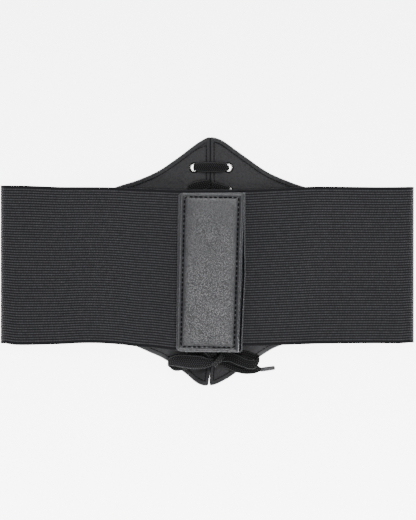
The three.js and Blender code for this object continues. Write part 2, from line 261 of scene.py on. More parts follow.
def skin(
    name: str, rings: Array, uv: Array | None = None, sharp: float = 0.9, around: bool = False
) -> bpy.types.Object:
    """Closed surface over the rings of a wall with two faces.

    Args:
        name: the piece's name.
        rings: (N, R, 3) points in mm, R even.
        uv: (N, R, 2 or 3) values, or None.
        sharp: edges that turn more than this many radians stay sharp.
        around: True where the last ring joins the first.

    Returns:
        The object.
    """
    places = rings.reshape(-1, 3)
    faces = outward(places, wall_faces(*rings.shape[:2], around))
    made = make_object(name, places, faces, None if uv is None else uv.reshape(len(places), -1))
    made.data.set_sharp_from_angle(angle=sharp)
    return made


def both_faces(upper: Array, lower: Array) -> Array:
    """Rings that run along the upper face and back along the lower one.

    Args:
        upper: (N, C, K) values of one face.
        lower: (N, C, K) values of the other.

    Returns:
        (N, 2C, K) values.
    """
    return np.concatenate([upper, lower[:, ::-1]], axis=1)


def swept(route: Array, across: Array, up: Array, a: Array, b: Array) -> Array:
    """Points that lie a across and b up from each place of a route.

    Args:
        route: (N, 3) places.
        across: (N, 3) unit vectors.
        up: (N, 3) unit vectors.
        a: (N, C) or (1, C) distances.
        b: the same.

    Returns:
        (N, C, 3) points.
    """
    return route[:, None] + across[:, None] * a[..., None] + up[:, None] * b[..., None]


def turned(name: str, profile: Array, centre: Array, steps: int = 48) -> bpy.types.Object:
    """Closed profile carried round a vertical axis.

    Args:
        name: the piece's name.
        profile: (P, 2) radius and height, a closed loop in mm.
        centre: x and y of the axis.
        steps: how many sides.

    Returns:
        The object.
    """
    angle = np.linspace(0, TURN, steps, endpoint=False)[:, None]
    radius, height = profile[:, 0][None], profile[:, 1][None]
    rings = layers(centre[0] + radius * np.cos(angle), centre[1] + radius * np.sin(angle), height)
    return skin(name, rings, around=True)


def tube(name: str, route: Array, radius: Array, flat: float = 1.0, sides: int = 20) -> bpy.types.Object:
    """Round body along a level route, closed at both ends.

    Args:
        name: the piece's name.
        route: (N, 3) points in mm.
        radius: (N,) radii in mm.
        flat: height as a share of width.
        sides: how many sides, even.

    Returns:
        The object.
    """
    way = unit(np.gradient(route, axis=0))
    across = unit(np.cross([0.0, 0.0, 1.0], way))
    up = np.cross(way, across)
    angle = (np.arange(sides) + 0.5) * TURN / sides
    wide = radius[:, None]
    rings = swept(route, across, up, wide * np.cos(angle), wide * flat * np.sin(angle))
    return skin(name, rings, layers(length_along(route)[:, None], angle))


def place(piece: bpy.types.Object, material: bpy.types.Material, slot: str, *nodes: str) -> bpy.types.Object:
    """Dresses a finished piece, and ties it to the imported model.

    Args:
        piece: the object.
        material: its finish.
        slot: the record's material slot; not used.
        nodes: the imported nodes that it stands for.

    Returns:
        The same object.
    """
    piece.data.materials.append(material)
    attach(piece, BODY)
    if nodes:
        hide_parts(*nodes)
    return piece


# ---- seams


@dataclass(frozen=True)
class Thread:
    """A sewing thread's stitch, in mm."""

    pitch: float
    length: float
    width: float
    height: float

    def sew(self, name: str, line: Array, level: Callable[[Array, Array], Array]) -> bpy.types.Object:
        """Row of stitches along a line on a sheet.

        A stitch is an ellipsoid drawn out along the line: at share a of its half length its radius
        is the root of 1 less a to the fourth, and it arches up by 1 less a squared.

        Args:
            name: the piece's name.
            line: (N, 2) places of the seam.
            level: gives the sheet's height for x and y.

        Returns:
            One object that holds all the stitches.
        """
        way = length_along(line)
        count = int(way[-1] // self.pitch)
        at = (np.arange(count) + 0.5) * way[-1] / count
        rng = np.random.default_rng(len(line) + count)
        at = at + rng.uniform(-0.06, 0.06, count) * self.pitch
        centre, ahead, behind = (
            np.stack([np.interp(at + step, way, line[:, k]) for k in (0, 1)], axis=1) for step in (0, 0.4, -0.4)
        )
        x, y = unit(ahead - behind).T
        lean = rng.normal(0, 0.05, count)
        heading = np.stack([x * np.cos(lean) - y * np.sin(lean), x * np.sin(lean) + y * np.cos(lean)], axis=1)
        side = np.stack([-heading[:, 1], heading[:, 0]], axis=1)
        a = np.array([-0.98, -0.8, -0.4, 0.0, 0.4, 0.8, 0.98])[None, :, None]
        b = ((np.arange(6) + 0.5) * TURN / 6)[None, None]
        round_off = np.sqrt(1 - a**4)
        long = a * self.length / 2
        wide = round_off * np.cos(b) * self.width / 2
        flat = centre[:, None, None] + heading[:, None, None] * long[..., None] + side[:, None, None] * wide[..., None]
        arch = (1 - a**2) * self.height * 0.55 - self.height * 0.3
        rise = arch + round_off * np.sin(b) * self.height / 2
        height = level(flat[..., 0], flat[..., 1]) + rise
        places = np.concatenate([flat, height[..., None]], axis=-1)
        stations, sides = places.shape[1:3]
        one = wall_faces(stations, sides)
        faces = (one[None] + (np.arange(count) * stations * sides)[:, None, None]).reshape(-1, 4)
        places = places.reshape(-1, 3)
        return make_object(name, places, outward(places, faces))


# ---- finishes


class Nodes:
    """Short way to lay out a shader tree."""

    def __init__(self, tree: bpy.types.NodeTree) -> None:
        """Keeps a material's or a group's node tree."""
        self.tree = tree

    def put(self, socket: bpy.types.NodeSocket, term: object) -> None:
        """Sets an input to a value, or joins an output to it.

        Args:
            socket: the input.
            term: a value or an output.
        """
        if isinstance(term, bpy.types.NodeSocket):
            self.tree.links.new(term, socket)
        else:
            socket.default_value = term

    def add(self, kind: str, **values: object) -> bpy.types.Node:
        """New node with its settings and inputs.

        Args:
            kind: the node's type name, without "ShaderNode".
            values: attributes of the node, or values and outputs for its inputs by name, with "_"
                for a space.

        Returns:
            The node.
        """
        node = self.tree.nodes.new("ShaderNode" + kind)
        for key, value in values.items():
            if hasattr(node, key):
                setattr(node, key, value)
            else:
                self.put(node.inputs[key.replace("_", " ")], value)
        return node

    def math(self, operation: str, *terms: object) -> bpy.types.NodeSocket:
        """Math node over numbers and outputs.

        Args:
            operation: the node's operation.
            terms: numbers or outputs, in order.

        Returns:
            Its output.
        """
        node = self.add("Math", operation=operation)
        for socket, term in zip(node.inputs, terms):
            self.put(socket, term)
        return node.outputs[0]

    def product(self, first: object, *others: object) -> bpy.types.NodeSocket:
        """Product of numbers and outputs.

        Args:
            first: the first of them.
            others: the rest.

        Returns:
            The last node's output.
        """
        for other in others:
            first = self.math("MULTIPLY", first, other)
        return first

    def wave(self, phase: object) -> bpy.types.NodeSocket:
        """Half of 1 plus the sine of a phase that is given in turns."""
        return self.math("MULTIPLY_ADD", self.math("SINE", self.math("MULTIPLY", phase, TURN)), 0.5, 0.5)

    def parts(self, vector: bpy.types.NodeSocket) -> tuple[bpy.types.NodeSocket, bpy.types.NodeSocket]:
        """First and second part of a vector."""
        return tuple(self.add("SeparateXYZ", Vector=vector).outputs[:2])

    def noise(self, vector: bpy.types.NodeSocket, scale: object, detail: float = 2.0) -> bpy.types.NodeSocket:
        """Noise texture's value at a vector."""
        return self.add("TexNoise", Vector=vector, Scale=scale, Detail=detail).outputs["Fac"]

    def spread(self, value: bpy.types.NodeSocket, **ends: float) -> bpy.types.NodeSocket:
        """Value carried from From_Min and From_Max to To_Min and To_Max, 0 and 1 where not given."""
        return self.add("MapRange", Value=value, **ends).outputs[0]

    def blend(self, factor: bpy.types.NodeSocket, low: object, high: Sequence[float]) -> bpy.types.NodeSocket:
        """Colour between two, by a factor.

        Args:
            factor: an output from 0 to 1.
            low: colour at 0, linear red, green and blue, or a colour output.
            high: colour at 1.

        Returns:
            The colour output.
        """
        node = self.add("MixRGB")
        self.put(node.inputs[0], factor)
        self.put(node.inputs[1], low if isinstance(low, bpy.types.NodeSocket) else (*low, 1))
        self.put(node.inputs[2], (*high, 1))
        return node.outputs[0]


def new_group(
    name: str, outs: Sequence[str], **ins: float
) -> tuple[bpy.types.NodeTree, Nodes, bpy.types.Node, bpy.types.Node]:
    """Empty shader node group with a vector input and its other sockets.

    Args:
        name: the group's name.
        outs: names of its value outputs.
        ins: its number inputs and what they are by default, with "_" for a space.

    Returns:
        The group, its Nodes helper, its input node and its output node.
    """
    group = bpy.data.node_groups.new(name, "ShaderNodeTree")
    group.interface.new_socket("Vector", in_out="INPUT", socket_type="NodeSocketVector")
    for word, value in ins.items():
        socket = group.interface.new_socket(word.replace("_", " "), in_out="INPUT", socket_type="NodeSocketFloat")
        socket.default_value = value
    for word in outs:
        group.interface.new_socket(word, in_out="OUTPUT", socket_type="NodeSocketFloat")
    return group, Nodes(group), group.nodes.new("NodeGroupInput"), group.nodes.new("NodeGroupOutput")


@cache
def rib_weave() -> bpy.types.NodeTree:
    """Node group of a ribbed elastic: U in mm along the ribs, V in ribs.

    Along each rib the crossing thread shows as short floats: a wave of the given pitch, shifted
    from rib to rib. Flecks are floats that noise picks out; they are strongest on the rib's crown, a painted highlight
    on the ribs' tops.

    Returns:
        The group.
    """
    group, n, start, end = new_group("rib_weave", ("Height", "FleckAndHighlight", "Crown"), Float_Pitch=1.3, Ribs=62.0)
    vector, pitch, ribs = start.outputs[:3]
    u, v = n.parts(vector)
    rib = n.math("FLOOR", v)
    crown = n.math("SINE", n.math("MULTIPLY", n.math("FRACT", v), np.pi))
    shift = n.math("MULTIPLY", n.math("SINE", n.math("MULTIPLY", rib, 12.9898)), 3.0)
    floats = n.wave(n.math("ADD", n.math("DIVIDE", u, pitch), shift))
    stretched = n.add("CombineXYZ", X=n.math("MULTIPLY", u, 0.35), Y=n.math("MULTIPLY", rib, 7.31))
    lot = n.noise(stretched.outputs[0], 1.0, 3.0)
    from_middle = n.math("ABSOLUTE", n.math("SUBTRACT", v, n.math("MULTIPLY", ribs, 0.5)))
    inside = n.math("LESS_THAN", from_middle, n.math("MULTIPLY_ADD", ribs, 0.5, -0.85))
    # the square of the crown paints the floats paler on each rib's top: painted highlight
    lit = n.product(n.math("MULTIPLY_ADD", floats, 0.7, 0.3), n.math("POWER", crown, 2.0), inside)
    fleck_and_highlight = n.math("MULTIPLY", lit, n.spread(lot, To_Min=0.2, To_Max=1.2))
    n.put(end.inputs["FleckAndHighlight"], n.math("MAXIMUM", fleck_and_highlight, 0.0))
    n.put(end.inputs["Crown"], crown)
    fine = n.noise(vector, 2.2, 3.0)
    n.put(end.inputs["Height"], n.math("MULTIPLY_ADD", fine, 0.35, n.math("MULTIPLY", floats, crown)))
    return group


@cache
def pebble_grain() -> bpy.types.NodeTree:
    """Node group of embossed leather grain: rounded cells with valleys between them, and a finer
    noise on top. Size is a cell's width in mm, at Object coordinates in metres.

    Returns:
        The group.
    """
    group, n, start, end = new_group("pebble_grain", ("Height", "Valley", "Mottle"), Size=0.9)
    vector, size = start.outputs[:2]
    scale = n.math("DIVIDE", 1000.0, size)
    cells = n.add("TexVoronoi", feature="SMOOTH_F1", Vector=vector, Scale=scale, Smoothness=0.35)
    valley = n.spread(cells.outputs["Distance"], To_Min=-0.1, To_Max=1.5)
    fine = n.noise(vector, n.math("MULTIPLY", scale, 2.3), 3.0)
    n.put(end.inputs["Height"], n.math("MULTIPLY_ADD", fine, 0.6, n.math("SUBTRACT", 1.0, valley)))
    n.put(end.inputs["Valley"], valley)
    n.put(end.inputs["Mottle"], n.noise(vector, 55.0, 4.0))
    return group


@cache
def flat_braid() -> bpy.types.NodeTree:
    """Node group of a flat braided lace: U and V in mm. Columns run along the lace, and in each
    the strands slant the other way than in the last, as a herringbone does.

    Returns:
        The group.
    """
    group, n, start, end = new_group("flat_braid", ("Height", "Strand"), Column=1.1, Strand_Pitch=1.75)
    vector, column, pitch = start.outputs[:3]
    u, v = n.parts(vector)
    across = n.math("DIVIDE", v, column)
    cell = n.math("FRACT", across)
    odd = n.math("MULTIPLY_ADD", n.math("FRACT", n.math("MULTIPLY", n.math("FLOOR", across), 0.5)), 4.0, -1.0)
    strand = n.wave(n.math("ADD", n.math("DIVIDE", u, pitch), n.product(cell, odd, 0.6)))
    dome = n.math("SINE", n.math("MULTIPLY", cell, np.pi))
    both = n.math("MULTIPLY", strand, n.math("POWER", dome, 0.6))
    n.put(end.inputs["Height"], n.math("MULTIPLY_ADD", n.noise(vector, 3.0), 0.3, both))
    n.put(end.inputs["Strand"], both)
    return group


@dataclass(frozen=True)
class Surface:
    """Plain values that every finish sets on its own shader."""

    name: str
    colour: tuple[float, float, float]
    light: tuple[float, float, float]
    roughness: float
    specular: float = 0.5
    sheen: float = 0.0
    metallic: float = 0.0

    def start(self) -> tuple[bpy.types.Material, Nodes, bpy.types.Node]:
        """New material with one Principled shader.

        Returns:
            The material, its Nodes helper and the shader.
        """
        material = bpy.data.materials.new(self.name)
        material.use_nodes = True
        shader = next(x for x in material.node_tree.nodes if x.type == "BSDF_PRINCIPLED")
        shader.inputs["Base Color"].default_value = (*self.colour, 1)
        shader.inputs["Roughness"].default_value = self.roughness
        shader.inputs["Specular IOR Level"].default_value = self.specular
        shader.inputs["Sheen Weight"].default_value = self.sheen
        shader.inputs["Metallic"].default_value = self.metallic
        material.diffuse_color = (*self.colour, 1)
        return material, Nodes(material.node_tree), shader

    @staticmethod
    def bump(n: Nodes, shader: bpy.types.Node, height: bpy.types.NodeSocket, depth: float, strength: float) -> None:
        """Feeds a height of depth metres to the shader's normal, at a strength."""
        n.put(shader.inputs["Normal"], n.add("Bump", Distance=depth, Strength=strength, Height=height).outputs[0])


@dataclass(frozen=True)
class ElasticFinish(Surface):
    """Ribbed elastic: matte, with pale flecks where the crossing thread shows, and a painted highlight on the rib
    crowns.
    """

    float_pitch: float = 1.3
    depth: float = 0.00012

    def material(self) -> bpy.types.Material:
        """Builds the material.

        Returns:
            The material.
        """
        made, n, shader = self.start()
        uv = n.add("UVMap", uv_map="cloth").outputs[0]
        weave = n.add("Group", node_tree=rib_weave(), Vector=uv, Float_Pitch=self.float_pitch).outputs
        n.put(shader.inputs["Base Color"], n.blend(weave["FleckAndHighlight"], self.colour, self.light))
        rough = n.spread(weave["Crown"], To_Min=self.roughness + 0.1, To_Max=self.roughness)
        n.put(shader.inputs["Roughness"], rough)
        self.bump(n, shader, weave["Height"], self.depth, 0.9)
        return made


@dataclass(frozen=True)
class LeatherFinish(Surface):
    """Embossed faux leather: satin coat over grain, a little paler on the grain's crowns.

    Where the sheen strength is set, a paler colour is painted in patches towards the lower hip
    corners: a painted sheen. It sets in over its out span in mm from the middle, and over its down span below it.
    """

    grain: float = 0.9
    depth: float = 0.00006
    # strength, colour and spans of a painted sheen towards the lower hip corners
    hip_sheen: float = 0.0
    rubbed: tuple[float, float, float] = (0.13, 0.13, 0.138)
    sheen_out: tuple[float, float] = (22.0, 42.0)
    sheen_down: tuple[float, float] = (58.0, 74.0)

    def material(self) -> bpy.types.Material:
        """Builds the material.

        Returns:
            The material.
        """
        made, n, shader = self.start()
        at = n.add("TexCoord").outputs["Object"]
        grain = n.add("Group", node_tree=pebble_grain(), Vector=at, Size=self.grain).outputs
        tone = n.math("MULTIPLY_ADD", grain["Mottle"], 0.3, n.math("MULTIPLY", grain["Valley"], -0.7))
        colour = n.blend(n.math("ADD", tone, 0.55), self.colour, self.light)
        # painted sheen: paler patches towards the lower hip corners, out from the middle and down from it
        if self.hip_sheen:
            x, y = n.parts(at)
            out = n.math("ABSOLUTE", n.math("SUBTRACT", x, PLAN.middle * MM))
            out = n.spread(out, From_Min=self.sheen_out[0] * MM, From_Max=self.sheen_out[1] * MM)
            down = n.math("MULTIPLY", y, -1.0)
            down = n.spread(down, From_Min=self.sheen_down[0] * MM, From_Max=self.sheen_down[1] * MM)
            patchy = n.math("MULTIPLY_ADD", grain["Mottle"], 1.6, -0.1)
            share = n.math("MULTIPLY", n.math("MULTIPLY", out, down), n.math("MULTIPLY", patchy, self.hip_sheen))
            colour = n.blend(share, colour, self.rubbed)
        n.put(shader.inputs["Base Color"], colour)
        rough = n.math("MULTIPLY_ADD", grain["Valley"], 0.25, self.roughness - 0.06)
        n.put(shader.inputs["Roughness"], rough)
        self.bump(n, shader, grain["Height"], self.depth, 1.0)
        return made


@dataclass(frozen=True)
class LaceFinish(Surface):
    """Flat braided lace: deep black, matte, with a painted highlight along each edge."""

    column: float = 1.6
    # strength of the painted highlight along each edge of the lace
    edge_highlight: float = 1.1
    depth: float = 0.0003

    def material(self) -> bpy.types.Material:
        """Builds the material.

        Returns:
            The material.
        """
        made, n, shader = self.start()
        uv = n.add("UVMap", uv_map="cloth").outputs[0]
        braid = n.add("Group", node_tree=flat_braid(), Vector=uv, Column=self.column).outputs
        rim = n.add("Attribute", attribute_name="rim").outputs["Fac"]
        # cord is a painted highlight: paler colour along each edge of the lace, where rim is near 0.82
        from_edge_light = n.math("ABSOLUTE", n.math("MULTIPLY_ADD", rim, 9.0, -7.4))
        cord = n.math("MAXIMUM", n.math("SUBTRACT", 1.0, from_edge_light), 0.0)
        tone = n.math("MULTIPLY_ADD", cord, self.edge_highlight, braid["Strand"])
        n.put(shader.inputs["Base Color"], n.blend(tone, self.colour, self.light))
        self.bump(n, shader, braid["Height"], self.depth, 0.9)
        return made


@dataclass(frozen=True)
class PlainFinish(Surface):
    """Thread, metal or moulded plastic, with fine wear in its gloss and surface."""

    wear: float = 400.0
    depth: float = 0.00002

    def material(self) -> bpy.types.Material:
        """Builds the material.

        Returns:
            The material.
        """
        made, n, shader = self.start()
        at = n.add("TexCoord").outputs["Object"]
        worn = n.noise(at, self.wear, 4.0)
        n.put(shader.inputs["Base Color"], n.blend(worn, self.colour, self.light))
        rough = n.spread(worn, To_Min=self.roughness - 0.05, To_Max=self.roughness + 0.12)
        n.put(shader.inputs["Roughness"], rough)
        self.bump(n, shader, n.noise(at, 3 * self.wear), self.depth, 0.6)
        return made


class Wardrobe:
    """The belt's finishes, built once."""

    def __init__(self) -> None:
        """Builds every material."""
        self.elastic = ElasticFinish(
            "ribbed_elastic", (0.008, 0.008, 0.0095), (0.085, 0.085, 0.093), 0.72, 0.14, 0.05
        ).material()
        # the panel's leather carries a painted sheen towards its lower hip corners
        self.panel = LeatherFinish(
            "panel_leather", (0.015, 0.015, 0.0168), (0.027, 0.027, 0.03), 0.46, 0.3, grain=0.7, depth=0.00004,
            hip_sheen=0.95,
        ).material()
        self.closure = LeatherFinish(
            "closure_leather", (0.008, 0.0083, 0.0105), (0.048, 0.0495, 0.06), 0.28, 0.6, grain=1.06, depth=0.000045
        ).material()
        self.lace = LaceFinish("braided_lace", (0.003, 0.003, 0.0033), (0.052, 0.052, 0.055), 0.8, 0.12).material()
        # darker copy of the lace, for the lacing and the knot's core; on the bow's right loop and tail its darkness is
        # painted shade
        self.cord = LaceFinish("laced_braid", (0.0015, 0.0015, 0.0017), (0.034, 0.034, 0.0355), 0.8, 0.08).material()
        # paler copy of the lace for the knot's wrap: painted highlight
        self.lit_knot_lace = LaceFinish("rubbed_lace", (0.013, 0.013, 0.0135), (0.048, 0.048, 0.05), 0.75, 0.15).material()
        self.thread = PlainFinish(
            "black_thread", (0.0025, 0.0025, 0.0028), (0.006, 0.006, 0.0065), 0.75, 0.05
        ).material()
        self.metal = PlainFinish(
            "nickel", (0.6, 0.595, 0.585), (0.74, 0.735, 0.725), 0.24, metallic=1.0, wear=900.0, depth=0.000004
        ).material()
        self.plastic = PlainFinish(
            "aglet_plastic", (0.018, 0.019, 0.021), (0.042, 0.043, 0.047), 0.35, 0.4, wear=500.0, depth=0.000006
        ).material()
        self.pile = PlainFinish("hook_pile", (0.008, 0.008, 0.009), (0.02, 0.02, 0.021), 0.9, 0.2, 0.3).material()


# ---- the belt's heights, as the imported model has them


@dataclass(frozen=True)
class Heights:
    """Where the layers lie above the surface, in mm."""

    band_wall: float = 1.5
    fold: float = 9.0
    panel_wall: float = 2.0
    panel_lift: float = 2.5
    leather: float = 1.0
    wrap: float = 3.8
    closure: float = 13.5
    right_band: float = 15.4
    tape: float = 17.45
    flap: float = 19.1
    left_band: float = 21.0


LEVEL = Heights()


@dataclass(frozen=True)
class LaceRoute:
    """The belt's front panel in plan, which the lace and the eyelets share, in mm."""

    middle: float = 3.2
    split: float = 2.4
    spacing: float = 27.5
    first: float = 75.3
    pitch: float = 19.0
    pairs: int = 9

    def eyelet(self, side: int, row: int) -> Array:
        """Centre of an eyelet in plan."""
        return np.array([self.middle + side * self.spacing / 2, self.first - row * self.pitch])


PLAN = LaceRoute()


# ---- sub-assemblies


@dataclass
class Studio:
    """Pale floor, soft lights and the camera straight above."""

    view_height: float = 2.0
    frame_height: float = 0.4185
    centre: tuple[float, float] = (0.0006, 0.0009)
    plane: float = 0.006

    def camera(self) -> None:
        """Camera that looks straight down, with +Y up in its picture."""
        data = bpy.data.cameras.new("camera")
        data.sensor_width = 36.0
        data.lens = data.sensor_width * (self.view_height - self.plane) / self.frame_height
        data.clip_end = 20
        made = bpy.data.objects.new("camera", data)
        made.location = (*self.centre, self.view_height)
        bpy.context.scene.collection.objects.link(made)
        bpy.context.scene.camera = made

    def floor(self) -> None:
        """Wide floor that rises smoothly far out, as a paper sweep does."""
        x = np.linspace(-4000, 4000, 33)
        gx, gy = np.meshgrid(x, x, indexing="ij")
        reach = np.hypot(gx, gy)
        height = -0.4 + 600 * ease(reach, 2200, 5200) ** 2
        number = np.arange(gx.size).reshape(gx.shape)
        quads = np.stack([number[:-1, :-1], number[1:, :-1], number[1:, 1:], number[:-1, 1:]], axis=-1)
        made = make_object("floor", np.stack([gx, gy, height], -1).reshape(-1, 3), quads.reshape(-1, 4))
        material, n, shader = Surface("paper", (0.86, 0.86, 0.865), (0.86, 0.86, 0.865), 0.9, 0.1).start()
        y = n.parts(n.add("TexCoord").outputs["Object"])[1]
        shader.inputs["Emission Color"].default_value = (1, 1, 1, 1)
        # the floor glows, more strongly towards -Y: painted light on the backdrop
        glow = n.spread(y, From_Min=-0.3, From_Max=0.3, To_Min=7.2, To_Max=4.6)
        n.put(shader.inputs["Emission Strength"], glow)
        made.data.materials.append(material)

    def lamp(self, name: str, at: Sequence[float], aim: Sequence[float], size: float, power: float) -> None:
        """Square soft light.

        Args:
            name: the light's name.
            at: where it hangs, in metres.
            aim: the point that it faces.
            size: its side in metres.
            power: watts.
        """
        data = bpy.data.lights.new(name, "AREA")
        data.shape, data.size, data.energy = "SQUARE", size, power
        made = bpy.data.objects.new(name, data)
        made.location = at
        heading = unit(np.array(aim, float) - np.array(at, float))
        made.rotation_euler = Vector(heading).to_track_quat("-Z", "Y").to_euler()
        bpy.context.scene.collection.objects.link(made)

    def build(self) -> None:
        """Makes the camera, the floor, the sky and the lights."""
        self.camera()
        self.floor()
        world = bpy.data.worlds.new("studio")
        world.use_nodes = True
        sky = next(x for x in world.node_tree.nodes if x.type == "BACKGROUND")
        sky.inputs["Color"].default_value = (1, 1, 1, 1)
        sky.inputs["Strength"].default_value = 0.55
        bpy.context.scene.world = world
        self.lamp("key", (0.55, -1.1, 2.0), (0, 0, 0), 0.8, 15)
        self.lamp("fill", (0.3, 1.1, 2.0), (0, 0, 0), 0.8, 24)
        self.lamp("sheen", (0.05, -0.17, 2.5), (0.0, 0.0, 0), 0.15, 13)


@dataclass
class ElasticBand:
    """One side of the ribbed band: from the panel's seam out to the fold and back to its end."""

    side: Side
    edges: tuple[tuple[float, float, float], ...]
    mouth: float
    stop: float
    end_level: float
    swell_seed: int
    half_length: float = 166.4
    seam_lap: float = 10.0
    ribs: int = 62
    rib_depth: float = 0.34
    narrowing: tuple[float, float] = (3.0, 2.4)

    def centreline(self) -> tuple[Array, Array]:
        """Line of the band in X and Z, and how far along its upper layer each point is.

        Returns:
            (N, 2) points, and (N,) shares that are 0 up to the fold's top and 1 from the mouth on.
        """
        s, h = self.side.value, LEVEL
        radius = (h.fold - h.band_wall) / 2
        fold = self.half_length - h.fold / 2
        seam = s * PLAN.middle + 70.0
        lap = h.panel_wall + 0.15 + h.band_wall / 2
        down = seam + self.seam_lap + 1
        low = h.band_wall / 2
        t = np.linspace(0, 1, 9)
        turn = np.linspace(0, np.pi, 19)
        parts = [
            np.stack([np.linspace(seam, down, 4), np.full(4, lap)], 1),
            np.stack([down + 7 * t[1:], lap + (low - lap) * ease(t[1:], 0, 1)], 1),
            np.stack([np.linspace(down + 9, fold - 1.5, 20), np.full(20, low)], 1),
            np.stack([fold + radius * np.sin(turn), h.fold / 2 - radius * np.cos(turn)], 1),
        ]
        before = sum(map(len, parts))
        u = np.linspace(0, 1, 48)[1:]
        mouth = s * self.mouth
        rise = h.fold - low + (self.end_level - h.fold + low) * ease(u, 0, 1)
        parts.append(np.stack([fold + (mouth - fold) * u, rise], 1))
        tail = np.linspace(mouth, s * self.stop, 9)[1:]
        parts.append(np.stack([tail, np.full(8, self.end_level)], 1))
        line = np.concatenate(parts)
        line[:, 0] *= s
        return line, np.concatenate([np.zeros(before), u, np.ones(8)])

    def build(self, finish: bpy.types.Material) -> bpy.types.Object:
        """Band as a ribbed wall. Across it, each rib's face stands out by the 0.6th power of the
        sine over the rib, and the two selvedges are smooth beads.

        Args:
            finish: the elastic's material.

        Returns:
            The piece.
        """
        line, share = self.centreline()
        s = self.side.value
        way = unit(np.gradient(line, axis=0))
        out = s * np.stack([way[:, 1], -way[:, 0]], 1)
        table = np.array(self.edges)
        knots = spline(table, np.linspace(0, len(table) - 1, 200))
        top, bottom = (read_table(knots[:, [0, k]], share) for k in (1, 2))
        narrow = np.where(share > 0, 0.0, ease(np.abs(line[:, 0]), 158.0, 80.0))
        narrow = np.where(line[:, 1] > LEVEL.fold / 2, 0.0, narrow)
        top, bottom = top - self.narrowing[0] * narrow, bottom + self.narrowing[1] * narrow
        over_rib = np.array([0, 0.14, 0.38, 0.62, 0.86])
        v = np.append((np.arange(self.ribs)[:, None] + over_rib).ravel(), self.ribs)
        y = bottom[:, None] + (top - bottom)[:, None] * (v / self.ribs)[None]
        relief = np.abs(np.sin(np.pi * v)) ** 0.6 * self.rib_depth - 0.6 * self.rib_depth
        edge = np.minimum(v, self.ribs - v)
        bead = ease(edge, 0.9, 0.6)
        relief = relief * (1 - bead) + bead * (0.1 - 0.62 * (1 - ease(edge, -0.3, 0.35)))
        slack = np.sin(np.pi * share)[:, None] * ease(share, 0, 0.1)[:, None]
        x = np.broadcast_to(line[:, :1], y.shape)
        swell = slack * (0.9 * ripple(x, y, self.swell_seed, 120.0) + 0.25 * ripple(x, y, self.swell_seed + 1, 38.0))
        faces = []
        for turn in (1, -1):
            reach = turn * (LEVEL.band_wall / 2 + relief)[None]
            faces.append(layers(x + out[:, :1] * reach, y, line[:, 1:] + out[:, 1:] * reach + swell))
        uv = layers(length_along(line)[:, None], v[None])
        piece = skin(f"band_{self.side.word}", both_faces(*faces), both_faces(uv, uv), sharp=1.2)
        place(piece, finish, "elastic", f"elastic_{self.side.word}")
        return piece


# distances of the panel's mesh lines from the split and from an edge, close over the hem and seam
SPLIT_LINES = np.array([0, 0.12, 0.3, 0.55, 0.9, 1.3, 1.8, 2.3, 2.7, 2.95, 3.2, 3.45, 3.75, 4.1, 4.6, 5.2, 6, 7])
EDGE_LINES = np.array([0, 0.12, 0.3, 0.55, 0.9, 1.4, 2, 2.6, 3.05, 3.35, 3.7, 4.05, 4.4, 4.8, 5.3, 6.2, 7.5])


